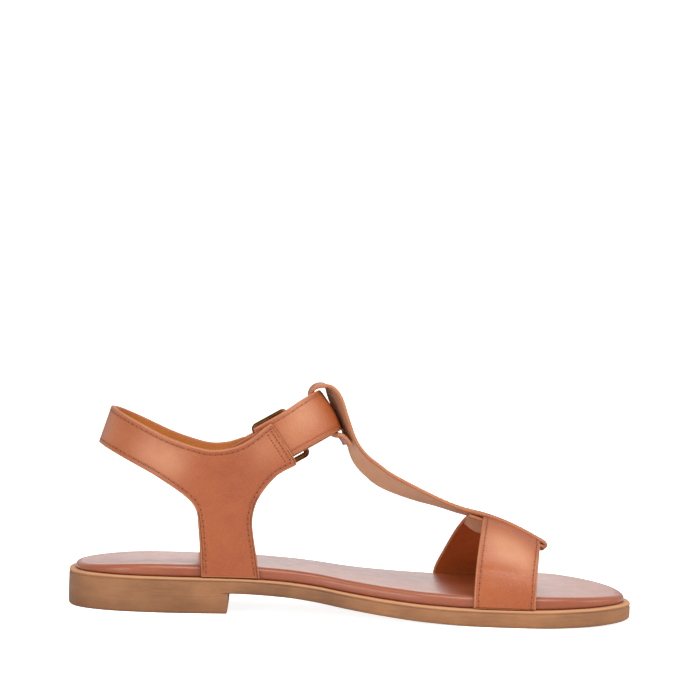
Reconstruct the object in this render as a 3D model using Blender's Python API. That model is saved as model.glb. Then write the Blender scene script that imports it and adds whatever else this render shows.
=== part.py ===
"""A flat T-strap sandal for the left foot, built on the form of its last.

The sandal stands on z = 0 with its toe towards +X. The inner side of the foot is at -Y and the outer side,
with the buckle, is at +Y. Stations are distances along the length from the back of the heel, in millimetres.
"""

import math
from collections import namedtuple

import bmesh
import bpy
from mathutils import Vector

MM = 0.001

# Driving sizes, in millimetres
SOLE_LENGTH = 252.0
HEEL_LENGTH = 72.0
HEEL_CENTRE_Y = -3.0
TOE_TIP_Y = -14.0
INSOLE_MARGIN = 2.9
STRAP_THICKNESS = 2.0
INSTEP_STRAP_THICKNESS = 1.7
ANKLE_STRAP_THICKNESS = 1.8
FOLD_THICKNESS = 1.2
ANKLE_STRAP_HALF_WIDTH = 9.5
INSTEP_STRAP_HALF_WIDTH = 9.0
ANKLE_CENTRE_Y = -1.0
ANKLE_HALF_WIDTH = 26.5
SEAT_GAP = 0.3
STRAP_SEAT_INSET = 1.3

# Round ends of the sole outline: length of the rounding along the foot and its fullness
HEEL_ROUND, HEEL_FULLNESS = 38.0, 2.5
TOE_ROUND_MEDIAL, TOE_FULLNESS_MEDIAL = 50.0, 2.05
TOE_ROUND_LATERAL, TOE_FULLNESS_LATERAL = 56.0, 2.1

# Sections of the sole: edges from the centre line, height of the underside, thickness of outsole and insole
SoleRow = namedtuple("SoleRow", "station medial lateral underside thickness insole")
SOLE_ROWS = (
    SoleRow(0.0, -33.7, 27.7, 9.0, 7.0, 2.2),
    SoleRow(14.0, -33.7, 27.7, 9.0, 7.0, 3.4),
    SoleRow(28.0, -33.7, 27.7, 9.0, 6.9, 4.6),
    SoleRow(42.0, -33.7, 27.7, 9.0, 6.9, 5.1),
    SoleRow(76.0, -29.8, 28.6, 9.0, 6.7, 5.2),
    SoleRow(95.0, -29.6, 28.6, 8.3, 6.7, 5.2),
    SoleRow(110.0, -31.0, 29.6, 6.8, 6.9, 5.2),
    SoleRow(125.0, -34.5, 32.6, 4.5, 7.1, 5.2),
    SoleRow(142.0, -39.6, 37.8, 2.5, 7.3, 5.2),
    SoleRow(160.0, -43.6, 42.8, 1.0, 7.5, 5.2),
    SoleRow(178.0, -45.2, 45.0, 0.2, 7.7, 5.2),
    SoleRow(192.0, -45.1, 45.2, 0.0, 7.8, 5.3),
    SoleRow(208.0, -44.6, 44.4, 0.0, 7.9, 5.4),
    SoleRow(230.0, -44.0, 42.0, 0.6, 8.1, 4.6),
    SoleRow(252.0, -44.0, 40.0, 2.4, 7.8, 3.0),
)

# Side of the outsole from underside to top: share of the thickness and inset from the outline
LayerRow = namedtuple("LayerRow", "share inset")
OUTSOLE_LAYERS = (
    LayerRow(0.0, 1.2),
    LayerRow(0.1, 0.2),
    LayerRow(0.72, 0.0),
    LayerRow(0.76, 0.45),
    LayerRow(0.82, 0.45),
    LayerRow(0.86, 0.0),
    LayerRow(0.95, 0.1),
    LayerRow(1.0, 0.7),
)
HEEL_LAYERS = (LayerRow(0.0, 1.3), LayerRow(0.1, 0.5), LayerRow(1.0, 0.3))
INSOLE_LAYERS = (
    LayerRow(0.0, 0.0),
    LayerRow(0.55, 0.0),
    LayerRow(0.84, 0.7),
    LayerRow(1.0, 2.6),
)
# The insole rises to the lateral edge under the toes
INSOLE_BANK_START, INSOLE_BANK_END = 186.0, 222.0
INSOLE_BANK, INSOLE_BANK_REACH = 2.8, 56.0

# Toe strap: where its rear and front edges stand on the sole and cross the crown of the forefoot
ArchRow = namedtuple("ArchRow", "medial_station lateral_station crown_station crown_height")
TOE_STRAP_REAR = ArchRow(180.7, 165.0, 184.8, 44.9)
TOE_STRAP_FRONT = ArchRow(208.2, 192.0, 210.6, 34.5)
TOE_STRAP_CROWN_Y = -6.0
TOE_STRAP_CROWN_EASE = 1.4
TOE_STRAP_SWEEP_MEDIAL, TOE_STRAP_SWEEP_LATERAL = 1.8, 1.0
# Its section on each side, from the crown to the foot: shares out to the side and up
SectionRow = namedtuple("SectionRow", "out up")
MEDIAL_SECTION = (
    SectionRow(0.0, 1.0),
    SectionRow(0.2, 0.988),
    SectionRow(0.4, 0.941),
    SectionRow(0.6, 0.844),
    SectionRow(0.75, 0.719),
    SectionRow(0.87, 0.558),
    SectionRow(0.95, 0.373),
    SectionRow(1.0, 0.16),
    SectionRow(1.0, 0.0),
)
LATERAL_SECTION = (
    SectionRow(0.0, 1.0),
    SectionRow(0.15, 0.99),
    SectionRow(0.28, 0.965),
    SectionRow(0.39, 0.915),
    SectionRow(0.58, 0.73),
    SectionRow(0.78, 0.48),
    SectionRow(0.94, 0.27),
    SectionRow(1.0, 0.14),
    SectionRow(1.0, 0.0),
)

# On the toe strap the instep strap follows its slope: drop of the lateral edge and sag of both edges
TOE_LEAN_START, TOE_LEAN_END = 160.0, 182.0
TOE_LEAN_DROP, TOE_LEAN_SAG = 1.5, 1.0

# Instep strap, from its end under the toe strap, round the toe strap's front edge, up the instep,
# over the ankle strap and down inside. Tilt lowers the lateral edge, bow curves both edges inwards.
FoldRow = namedtuple("FoldRow", "station height y tilt bow")
INSTEP_STRAP_ROWS = (
    FoldRow(178.0, 44.3, -1.5, -8.0, -0.2),
    FoldRow(184.0, 41.6, -1.8, -14.0, -0.2),
    FoldRow(190.0, 40.4, -2.0, -7.0, -0.1),
    FoldRow(197.4, 39.6, -2.0, -1.0, 0.0),
    FoldRow(203.8, 36.7, -2.0, 0.0, 0.0),
    FoldRow(208.5, 34.2, -2.0, 0.0, 0.0),
    FoldRow(211.9, 32.4, -2.0, 0.0, 0.0),
    FoldRow(213.2, 32.7, -2.0, 0.0, 0.0),
    FoldRow(212.9, 34.0, -2.0, 0.0, 0.0),
    FoldRow(208.6, 36.3, -2.0, 0.0, 0.0),
    FoldRow(204.6, 38.4, -2.0, 0.0, 0.0),
    FoldRow(198.1, 41.4, -2.0, 0.0, 0.0),
    FoldRow(191.6, 43.9, -2.0, 0.0, 0.0),
    FoldRow(184.8, 45.9, -1.8, 0.0, 0.0),
    FoldRow(178.0, 47.2, -1.5, 2.0, 0.1),
    FoldRow(171.0, 49.0, -1.0, 7.0, 0.4),
    FoldRow(157.0, 53.5, -0.4, 20.0, 0.7),
    FoldRow(142.2, 59.4, 0.0, 28.0, 0.7),
    FoldRow(135.0, 64.3, 0.0, 28.0, 0.8),
    FoldRow(129.5, 69.4, -0.2, 23.0, 0.8),
    FoldRow(125.2, 76.8, -0.5, 14.0, 0.6),
    FoldRow(120.9, 86.7, -0.8, 15.0, 0.4),
    FoldRow(117.5, 95.3, -1.0, 18.0, 0.6),
    FoldRow(114.7, 99.9, -1.0, 12.0, 0.5),
    FoldRow(111.4, 101.3, -1.0, 2.0, 0.0),
    FoldRow(107.4, 100.0, -1.0, 0.0, -0.5),
    FoldRow(106.0, 95.9, -1.0, 0.0, -1.0),
    FoldRow(109.9, 89.6, -1.0, 0.0, -1.2),
    FoldRow(113.8, 83.4, -1.0, -1.0, -1.2),
    FoldRow(116.9, 80.0, -0.9, -3.0, -1.1),
    FoldRow(120.0, 79.2, -0.8, -7.0, -0.8),
    FoldRow(122.1, 77.2, -0.7, -9.0, -0.6),
    FoldRow(123.4, 74.9, -0.6, -10.0, -0.5),
)

# Heel strap and quarter: lower and upper edge at the back of the heel and along one side.
# Side is 0 at the back of the heel and 1 on the flat of the ankle.
BandRow = namedtuple("BandRow", "low_station low_height top_station top_height side")
BAND_ROWS = (
    BandRow(12.0, 71.7, 17.4, 88.9, 0.0),
    BandRow(15.6, 70.8, 20.9, 87.6, 0.5),
    BandRow(25.0, 66.7, 30.2, 83.5, 0.866),
    BandRow(37.6, 60.6, 42.5, 78.0, 1.0),
    BandRow(49.0, 54.2, 53.9, 74.3, 1.0),
    BandRow(59.5, 56.0, 61.8, 72.8, 1.0),
    BandRow(70.0, 58.2, 69.0, 73.5, 1.0),
    BandRow(80.0, 60.8, 75.5, 75.7, 1.0),
)
# Front branch on the plain side, sewn over the ankle strap
MEDIAL_BRANCH_ROWS = (
    BandRow(90.6, 62.2, 81.0, 79.4, 1.0),
    BandRow(95.6, 64.8, 85.0, 83.0, 1.0),
    BandRow(101.2, 67.8, 88.6, 85.9, 1.0),
)
JUNCTION_START = 4

# Stem of the quarter below the band: rear and front edge, from the band down to the sole
StemRow = namedtuple("StemRow", "rear_station rear_height front_station front_height")
STEM_ROWS = (
    StemRow(53.2, 51.2, 86.7, 56.6),
    StemRow(56.0, 47.2, 83.2, 49.8),
    StemRow(57.5, 41.0, 81.7, 42.6),
    StemRow(58.4, 33.5, 82.3, 35.6),
    StemRow(59.3, 25.0, 84.0, 26.5),
    StemRow(59.8, 16.2, 85.8, 16.2),
)
LATERAL_STEM_SETBACK = 2.0
LATERAL_BAND_DROP = 1.3
STEM_LEAN_TOP = 55.0

# Plane of the ankle strap: it rises towards the front about a point on the medial seam,
# and drops to the far side
RING_STATION, RING_HEIGHT = 94.7, 80.4
RING_SLOPE = math.radians(31.0)
RING_LATERAL_DROP = 5.0
RING_FRONT = 21.6
RING_SPRING_LINE = -4.0
RING_HALF_WIDTH = 24.3
RING_FULLNESS = 2.3
LAP_LENGTH = 11.0
RING_FRONT_FLARE = 1.5

# Buckle, placed along the ankle strap's own direction
BUCKLE_REAR_BAR = -13.2
BUCKLE_LENGTH = 16.0
BUCKLE_Y = 23.3
BUCKLE_WIRE_RADIUS = 1.3
BUCKLE_HALF_HEIGHT = 11.2
BUCKLE_CORNER = 1.6
PRONG_RADIUS = 0.8
FOLD_HALF_WIDTH = 8.4
PRONG_SLOT_HALF_WIDTH = 1.7

# Ankle strap through the buckle: distance from its rear bar along the strap, and from the centre line
StrapRow = namedtuple("StrapRow", "along y")
BUCKLE_END_ROWS = (
    StrapRow(19.2, 20.6),
    StrapRow(16.0, 20.7),
    StrapRow(12.0, 21.4),
    StrapRow(9.7, 22.6),
    StrapRow(8.0, 24.0),
    StrapRow(6.2, 25.6),
    StrapRow(4.4, 27.0),
    StrapRow(2.4, 27.9),
    StrapRow(-0.3, 28.3),
    StrapRow(-5.8, 28.0),
    StrapRow(-14.8, 27.8),
    StrapRow(-24.0, 27.8),
)
PRONG_HOLE_START, PRONG_HOLE_END = 9.6, 2.5
STRAP_TIP_TAPER = 6.0

COLOURS = {
    "leather": (0.478, 0.165, 0.065, 1.0),
    "insole_leather": (0.392, 0.130, 0.062, 1.0),
    "sole": (0.381, 0.184, 0.095, 1.0),
    "brass": (0.560, 0.380, 0.160, 1.0),
}


# Curves through the rows of a table
def hermite_slopes(xs, ys):
    """Slopes of a smooth curve through the points that adds no bumps between them."""
    steps = [xs[i + 1] - xs[i] for i in range(len(xs) - 1)]
    rises = [(ys[i + 1] - ys[i]) / steps[i] for i in range(len(steps))]
    slopes = [rises[0]]
    for i in range(1, len(steps)):
        if rises[i - 1] * rises[i] <= 0:
            slopes.append(0.0)
        else:
            before = 2 * steps[i] + steps[i - 1]
            after = steps[i] + 2 * steps[i - 1]
            slopes.append((before + after) / (before / rises[i - 1] + after / rises[i]))
    slopes.append(rises[-1])
    return slopes


def column(rows, key, value, at):
    """The value column of a table, read smoothly at a place in its key column."""
    xs = [getattr(row, key) for row in rows]
    ys = [getattr(row, value) for row in rows]
    slopes = hermite_slopes(xs, ys)
    at = min(max(at, xs[0]), xs[-1])
    i = max(k for k in range(len(xs) - 1) if xs[k] <= at or k == 0)
    step = xs[i + 1] - xs[i]
    t = (at - xs[i]) / step
    rise = ys[i] * (1 + 2 * t) * (1 - t) ** 2 + ys[i + 1] * t * t * (3 - 2 * t)
    return rise + step * (slopes[i] * t * (1 - t) ** 2 + slopes[i + 1] * t * t * (t - 1))


def curve_point(a, b, c, d, t):
    """A value between b and c on a smooth curve through a, b, c and d."""
    first = (c - a) * t
    second = (2 * a - 5 * b + 4 * c - d) * t * t
    third = (3 * b - a - 3 * c + d) * t**3
    return 0.5 * (2 * b + first + second + third)


def smooth_rows(rows, per_row):
    """Tuples on a smooth curve through the rows, with per_row steps from each row to the next."""
    ends = [rows[0]] + list(rows) + [rows[-1]]
    found = []
    for i in range(1, len(ends) - 2):
        near = ends[i - 1 : i + 3]
        for k in range(per_row):
            found.append(tuple(curve_point(*values, k / per_row) for values in zip(*near)))
    found.append(tuple(rows[-1]))
    return found


# Form of the sole and of the foot on it
def ease(value, low, high):
    """A soft step from 0 at low to 1 at high."""
    share = min(max((value - low) / (high - low), 0.0), 1.0)
    return share * share * (3 - 2 * share)


def rounding(distance, length, fullness):
    """Share of the full width at a distance from a round end."""
    share = min(max(distance / length, 0.0), 1.0)
    return (1 - (1 - share) ** fullness) ** (1 / fullness)


def sole_edge(station, side):
    """Distance of the outsole's edge from the centre line; side is -1 medial, +1 lateral."""
    medial = side < 0
    y = column(SOLE_ROWS, "station", "medial" if medial else "lateral", station)
    y = HEEL_CENTRE_Y + (y - HEEL_CENTRE_Y) * rounding(station, HEEL_ROUND, HEEL_FULLNESS)
    length = TOE_ROUND_MEDIAL if medial else TOE_ROUND_LATERAL
    fullness = TOE_FULLNESS_MEDIAL if medial else TOE_FULLNESS_LATERAL
    return TOE_TIP_Y + (y - TOE_TIP_Y) * rounding(SOLE_LENGTH - station, length, fullness)


def underside(station):
    """Height of the outsole's underside."""
    return column(SOLE_ROWS, "station", "underside", station)


def sole_top(station):
    """Height of the outsole's top."""
    return underside(station) + column(SOLE_ROWS, "station", "thickness", station)


def insole_height(station, y):
    """Thickness of the insole, which thins towards both ends and rises to the side under the toes."""
    bank = INSOLE_BANK * max(y - TOE_TIP_Y, 0) / INSOLE_BANK_REACH
    bank *= ease(station, INSOLE_BANK_START, INSOLE_BANK_END)
    return column(SOLE_ROWS, "station", "insole", station) + bank


def place(station, y, height):
    """A point of the sandal in metres, in the part's own frame."""
    return Vector(((station - SOLE_LENGTH / 2) * MM, y * MM, height * MM))


def rails(stations, inset):
    """Medial and lateral edge points (station, y) at the stations, moved inwards by the inset."""
    found = []
    for side in (-1, 1):
        points = [(s, sole_edge(s, side)) for s in stations]
        moved = []
        for i, (s, y) in enumerate(points):
            before, after = points[max(i - 1, 0)], points[min(i + 1, len(points) - 1)]
            if s <= 0:
                before = (points[1][0], 2 * y - points[1][1])
            if s >= SOLE_LENGTH:
                after = (points[-2][0], 2 * y - points[-2][1])
            along = Vector((after[0] - before[0], after[1] - before[1])).normalized()
            moved.append((s + side * along.y * inset, y - side * along.x * inset))
        found.append(moved)
    return found


# Solids
def finish_object(name, mesh_data, colour, roughness, metallic=0.0):
    """A named object with its own material from a bmesh."""
    bmesh.ops.recalc_face_normals(mesh_data, faces=mesh_data.faces)
    mesh = bpy.data.meshes.new(name)
    mesh_data.to_mesh(mesh)
    mesh_data.free()
    mesh.shade_smooth()
    mesh.set_sharp_from_angle(angle=math.radians(35))
    material = bpy.data.materials.new(name)
    material.use_nodes = True
    shader = material.node_tree.nodes["Principled BSDF"]
    shader.inputs["Base Color"].default_value = COLOURS[colour]
    shader.inputs["Roughness"].default_value = roughness
    shader.inputs["Metallic"].default_value = metallic
    mesh.materials.append(material)
    made = bpy.data.objects.new(name, mesh)
    bpy.context.scene.collection.objects.link(made)
    return made


def stacked_solid(layers):
    """A solid through loops of points, each a pair of rails from heel to toe; rungs close bottom and top."""
    bm = bmesh.new()
    loops = []
    for medial, lateral in layers:
        first = [bm.verts.new(p) for p in medial]
        second = [bm.verts.new(p) for p in lateral]
        for end in (0, -1):
            if (medial[end] - lateral[end]).length < 0.01 * MM:
                bm.verts.remove(second[end])
                second[end] = first[end]
        loops.append((first, second))
    for low, high in zip(loops, loops[1:]):
        for side in (0, 1):
            for i in range(len(low[side]) - 1):
                bm.faces.new((low[side][i], low[side][i + 1], high[side][i + 1], high[side][i]))
        for end in (0, -1):
            if low[0][end] is not low[1][end]:
                bm.faces.new((low[0][end], low[1][end], high[1][end], high[0][end]))
    for first, second in (loops[0], loops[-1]):
        for i in range(len(first) - 1):
            corners = (first[i], first[i + 1], second[i + 1], second[i])
            bm.faces.new(list(dict.fromkeys(corners)))
    return bm


def wall_solid(points, faces, half_thickness):
    """A closed wall about a sheet of points and faces, with half its thickness at each point."""
    sheet = bmesh.new()
    verts = [sheet.verts.new(p) for p in points]
    for face in faces:
        sheet.faces.new([verts[i] for i in face])
    sheet.normal_update()
    normals = [v.normal.copy() for v in verts]
    sheet.free()
    bm = bmesh.new()
    outer = [bm.verts.new(p + n * h) for p, n, h in zip(points, normals, half_thickness)]
    inner = [bm.verts.new(p - n * h) for p, n, h in zip(points, normals, half_thickness)]
    edges = set()
    for face in faces:
        bm.faces.new([outer[i] for i in face])
        bm.faces.new([inner[i] for i in reversed(face)])
        edges.update(zip(face, face[1:] + face[:1]))
    for a, b in edges:
        if (b, a) not in edges:
            bm.faces.new((outer[b], outer[a], inner[a], inner[b]))
    return bm


def grid_faces(rows, columns, first=0, gaps=()):
    """Faces of a grid of points numbered row by row, without the cells (row, column) in gaps."""
    faces = []
    for i in range(rows - 1):
        for j in range(columns - 1):
            if (i, j) not in gaps:
                corner = first + i * columns + j
                faces.append((corner, corner + 1, corner + columns + 1, corner + columns))
    return faces


def tube_solid(points, radius, sides, closed):
    """A round wire along points, with flat ends where it isn't closed."""
    bm = bmesh.new()
    count = len(points)
    rings = []
    across = None
    for i, p in enumerate(points):
        before = points[i - 1] if closed or i else p
        after = points[(i + 1) % count] if closed or i < count - 1 else p
        along = (after - before).normalized()
        if across is None:
            across = along.orthogonal().normalized()
        across = (across - along * across.dot(along)).normalized()
        other = along.cross(across)
        turn = 2 * math.pi / sides
        rings.append(
            [
                bm.verts.new(p + radius * (across * math.cos(k * turn) + other * math.sin(k * turn)))
                for k in range(sides)
            ]
        )
    spans = count if closed else count - 1
    for i in range(spans):
        here, there = rings[i], rings[(i + 1) % count]
        for k in range(sides):
            bm.faces.new((here[k], here[(k + 1) % sides], there[(k + 1) % sides], there[k]))
    if not closed:
        bm.faces.new(rings[0])
        bm.faces.new(rings[-1])
    return bm


# Sole pieces
def eased_stations(start, end, count):
    """Stations from start to end, closer together at the round ends."""
    return [start + (end - start) * (1 - math.cos(math.pi * k / count)) / 2 for k in range(count + 1)]


def outsole():
    """The outsole, with its arch, toe spring and the groove under its top edge."""
    stations = eased_stations(0, SOLE_LENGTH, 40)
    layers = []
    for layer in OUTSOLE_LAYERS:
        layers.append(
            [
                [place(s, y, underside(s) + layer.share * (sole_top(s) - underside(s))) for s, y in rail]
                for rail in rails(stations, layer.inset)
            ]
        )
    return finish_object("outsole", stacked_solid(layers), "sole", 0.6)


def heel():
    """The low heel block under the back of the outsole."""
    quarter_turns = 14
    turn = 0.5 * math.pi / quarter_turns
    stations = [HEEL_LENGTH * (1 - math.cos(turn * k)) for k in range(quarter_turns + 1)]
    top = underside(0) - SEAT_GAP
    layers = []
    for layer in HEEL_LAYERS:
        sides = rails(stations, layer.inset)
        layers.append([[place(s, y, layer.share * top) for s, y in rail] for rail in sides])
    return finish_object("heel", stacked_solid(layers), "sole", 0.6)


def insole():
    """The padded insole with its rounded, leather-covered edge."""
    stations = eased_stations(0, SOLE_LENGTH, 36)
    layers = []
    for layer in INSOLE_LAYERS:
        layers.append(
            [
                [place(s, y, sole_top(s) + SEAT_GAP + layer.share * insole_height(s, y)) for s, y in rail]
                for rail in rails(stations, INSOLE_MARGIN + layer.inset)
            ]
        )
    return finish_object("insole", stacked_solid(layers), "insole_leather", 0.4)


# Front of the upper
def section_point(rows, turn):
    """Shares out and up on a section, at a turn from 0 at the crown to 1 at the foot."""
    last = len(rows) - 1
    i = min(int(turn * last), last - 1)
    near = [rows[min(max(i + k, 0), last)] for k in (-1, 0, 1, 2)]
    return [curve_point(*values, turn * last - i) for values in zip(*near)]


def toe_strap_point(share, angle):
    """A point on the toe strap: share runs from rear to front edge, angle from medial to lateral side."""
    rear, front = TOE_STRAP_REAR, TOE_STRAP_FRONT
    medial = angle < math.pi / 2
    sweep = TOE_STRAP_SWEEP_MEDIAL if medial else TOE_STRAP_SWEEP_LATERAL
    side = -1 if medial else 1
    ends = (rear.lateral_station, front.lateral_station)
    if medial:
        ends = (rear.medial_station, front.medial_station)
    foot_station = ends[0] + (ends[1] - ends[0]) * share
    crown_station = rear.crown_station + (front.crown_station - rear.crown_station) * share
    drop = rear.crown_height - front.crown_height
    crown_height = rear.crown_height - drop * share**TOE_STRAP_CROWN_EASE
    foot_y = sole_edge(foot_station, side) - side * STRAP_SEAT_INSET
    foot_height = sole_top(foot_station) + SEAT_GAP
    section = MEDIAL_SECTION if medial else LATERAL_SECTION
    out, up = section_point(section, abs(angle / (math.pi / 2) - 1))
    return place(
        crown_station + (foot_station - crown_station) * out**sweep,
        TOE_STRAP_CROWN_Y + (foot_y - TOE_STRAP_CROWN_Y) * out,
        foot_height + (crown_height - foot_height) * up,
    )


def toe_strap_wall():
    """The broad strap over the toes, open underneath."""
    along, across = 30, 6
    points = [
        toe_strap_point(j / across, math.pi * i / along) for i in range(along + 1) for j in range(across + 1)
    ]
    half = [STRAP_THICKNESS / 2 * MM] * len(points)
    return wall_solid(points, grid_faces(along + 1, across + 1), half)


def instep_strap_wall():
    """The strap along the instep, folded round the toe strap and over the ankle strap."""
    across = 4
    rows = smooth_rows(INSTEP_STRAP_ROWS, 2)
    points = []
    for i, row in enumerate(rows):
        station, height, y, tilt, bow = row
        before, after = rows[max(i - 1, 0)], rows[min(i + 1, len(rows) - 1)]
        along = Vector((after[0] - before[0], 0, after[1] - before[1])).normalized()
        inwards = Vector((-along.z, 0, along.x))
        turn = math.radians(tilt)
        width = Vector((0, 1, 0)) * math.cos(turn) + inwards * math.sin(turn)
        lean = ease(station, TOE_LEAN_START, TOE_LEAN_END)
        for j in range(across + 1):
            v = 2 * j / across - 1
            sunk = lean * (TOE_LEAN_DROP * v + TOE_LEAN_SAG * v * v)
            offset = width * (v * INSTEP_STRAP_HALF_WIDTH) + inwards * (bow * v * v)
            points.append(place(station + offset.x, y + offset.y, height + offset.z - sunk))
    half = [INSTEP_STRAP_THICKNESS / 2 * MM] * len(points)
    return wall_solid(points, grid_faces(len(rows), across + 1), half)


def vamp_straps():
    """Toe strap and instep strap, one wall where they are sewn together."""
    toe = finish_object("vamp_straps", toe_strap_wall(), "leather", 0.45)
    instep = finish_object("instep_strap_form", instep_strap_wall(), "leather", 0.45)
    instep.hide_render = True
    instep.display_type = "WIRE"
    joined = toe.modifiers.new("sewn together", "BOOLEAN")
    joined.operation = "UNION"
    joined.object = instep
    return toe


# Back of the upper
def on_ring(along, up, y):
    """A point of the ankle strap's plane: along the strap, across its width, and beside the centre line."""
    cosine, sine = math.cos(RING_SLOPE), math.sin(RING_SLOPE)
    up -= RING_LATERAL_DROP * (0.5 + 0.5 * (y - ANKLE_CENTRE_Y) / ANKLE_HALF_WIDTH)
    return RING_STATION + along * cosine - up * sine, y, RING_HEIGHT + along * sine + up * cosine


def ankle_side(share, side):
    """Distance of the quarter from the centre line."""
    return ANKLE_CENTRE_Y + side * ANKLE_HALF_WIDTH * share


def stem_side(station, height, side):
    """Distance of the stem from the centre line, leaning from the sole's edge to the flat of the ankle."""
    foot = sole_top(station) + SEAT_GAP
    share = ease(height, foot, STEM_LEAN_TOP)
    base = sole_edge(station, side) - side * STRAP_SEAT_INSET
    return base + (ankle_side(1, side) - base) * share


def buckle_fold_rows():
    """The lateral branch narrowing to the buckle, folded round its bar and laid back inside."""
    radius = BUCKLE_WIRE_RADIUS + SEAT_GAP + FOLD_THICKNESS / 2
    bar_y = BUCKLE_Y
    path = [(BUCKLE_REAR_BAR - 3.0, bar_y + radius)]
    for degrees in (90, 54, 18, -18, -54, -90):
        angle = math.radians(degrees)
        path.append((BUCKLE_REAR_BAR + radius * math.cos(angle), bar_y + radius * math.sin(angle)))
    laid_back = ((3.3, 21.6), (6.8, 22.9), (10.8, 23.5), (14.0, 23.6))
    path += [(BUCKLE_REAR_BAR - back, y) for back, y in laid_back]
    return path


def quarter():
    """Heel strap with the stems on both sides, one wall from the buckle fold round the heel to the seam."""
    per_row, across = 3, 4
    medial = smooth_rows(BAND_ROWS + MEDIAL_BRANCH_ROWS, per_row)
    lateral = smooth_rows(BAND_ROWS, per_row)
    junction = JUNCTION_START * per_row
    points, half = [], []

    # The two middle cells across are narrow, so that the fold can be slit for the prong
    slit = 0.5 * PRONG_SLOT_HALF_WIDTH / FOLD_HALF_WIDTH
    shares = (0.0, 0.5 - slit, 0.5, 0.5 + slit, 1.0)

    def add_line(low, top, thickness):
        for share in shares:
            points.append(place(*(a + (b - a) * share for a, b in zip(low, top))))
            half.append(thickness / 2 * MM)

    fold = buckle_fold_rows()
    for along, y in reversed(fold):
        add_line(on_ring(along, -FOLD_HALF_WIDTH, y), on_ring(along, FOLD_HALF_WIDTH, y), FOLD_THICKNESS)
    fold_lines = len(fold)
    for row, side in [(row, 1) for row in reversed(lateral)] + [(row, -1) for row in medial[1:]]:
        y = ankle_side(row[4], side)
        drop = LATERAL_BAND_DROP * row[4] if side > 0 else 0.0
        add_line((row[0], y, row[1] - drop), (row[2], y, row[3] - drop), STRAP_THICKNESS)
    lines = fold_lines + len(lateral) + len(medial) - 1
    slot = [(i, j) for i in range(2, fold_lines - 1) for j in (1, 2)]
    faces = grid_faces(lines, across + 1, gaps=slot)

    heel_line = fold_lines + len(lateral) - 1
    medial_stop = len(BAND_ROWS) * per_row
    for side, stop in ((1, len(lateral) - 1), (-1, medial_stop)):
        top_row = [(heel_line - side * k) * (across + 1) for k in range(junction, stop + 1)]
        add_stem(points, half, faces, top_row, side)
    bm = wall_solid(points, faces, half)
    return finish_object("heel_quarter", bm, "leather", 0.45)


def add_stem(points, half, faces, top_row, side):
    """Adds a stem of the quarter below the band's lower edge, given as point numbers from rear to front."""
    above = top_row
    setback = LATERAL_STEM_SETBACK if side > 0 else 0.0
    for station_row in smooth_rows(STEM_ROWS, 2):
        rear, front = station_row[:2], station_row[2:]
        here = []
        for k in range(len(top_row)):
            share = k / (len(top_row) - 1)
            station = rear[0] + (front[0] - rear[0]) * share - setback
            height = max(rear[1] + (front[1] - rear[1]) * share, sole_top(station) + SEAT_GAP)
            here.append(len(points))
            points.append(place(station, stem_side(station, height, side), height))
            half.append(STRAP_THICKNESS / 2 * MM)
        for k in range(len(top_row) - 1):
            face = (above[k], above[k + 1], here[k + 1], here[k])
            faces.append(face if side < 0 else tuple(reversed(face)))
        above = here


def ankle_strap_path():
    """Places along and beside the ankle strap, from the seam round the front to the tip past the buckle."""
    depth = RING_FRONT - RING_SPRING_LINE
    path = [(-LAP_LENGTH, -RING_HALF_WIDTH), (-7.5, -RING_HALF_WIDTH)]
    turns = 20
    for k in range(turns + 1):
        angle = math.pi * k / turns
        along = RING_SPRING_LINE + depth * math.sin(angle) ** (2 / RING_FULLNESS)
        if angle > math.pi / 2 and along < BUCKLE_REAR_BAR + BUCKLE_END_ROWS[0].along + 3:
            break
        aside = abs(math.cos(angle)) ** (2 / RING_FULLNESS)
        path.append((along, math.copysign(RING_HALF_WIDTH * aside, -math.cos(angle))))
    path = [(along, y + ANKLE_CENTRE_Y) for along, y in path]
    return path + [(BUCKLE_REAR_BAR + along, y) for along, y in smooth_rows(BUCKLE_END_ROWS, 2)]


def ankle_strap():
    """The strap round the ankle, through the instep strap's loop and the buckle."""
    path = ankle_strap_path()
    edges = (-1.0, -0.17, 0.17, 1.0)
    tip = path[-1][0]
    points = []
    for along, y in path:
        taper = 1.0
        if y > 0:
            taper = 0.55 + 0.45 * rounding(along - tip, STRAP_TIP_TAPER, 2.0)
        for edge in edges:
            flare = RING_FRONT_FLARE * ease(along, 0, RING_FRONT) * max(edge, 0)
            points.append(place(*on_ring(along, edge * ANKLE_STRAP_HALF_WIDTH * taper + flare, y)))
    hole_start, hole_end = BUCKLE_REAR_BAR + PRONG_HOLE_START, BUCKLE_REAR_BAR + PRONG_HOLE_END
    holes = []
    for i in range(len(path) - 1):
        if path[i][1] > 0 and hole_end < path[i + 1][0] and path[i][0] < hole_start:
            holes.append((i, 1))
    faces = grid_faces(len(path), len(edges), gaps=holes)
    half = [ANKLE_STRAP_THICKNESS / 2 * MM] * len(points)
    return finish_object("ankle_strap", wall_solid(points, faces, half), "leather", 0.45)


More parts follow.
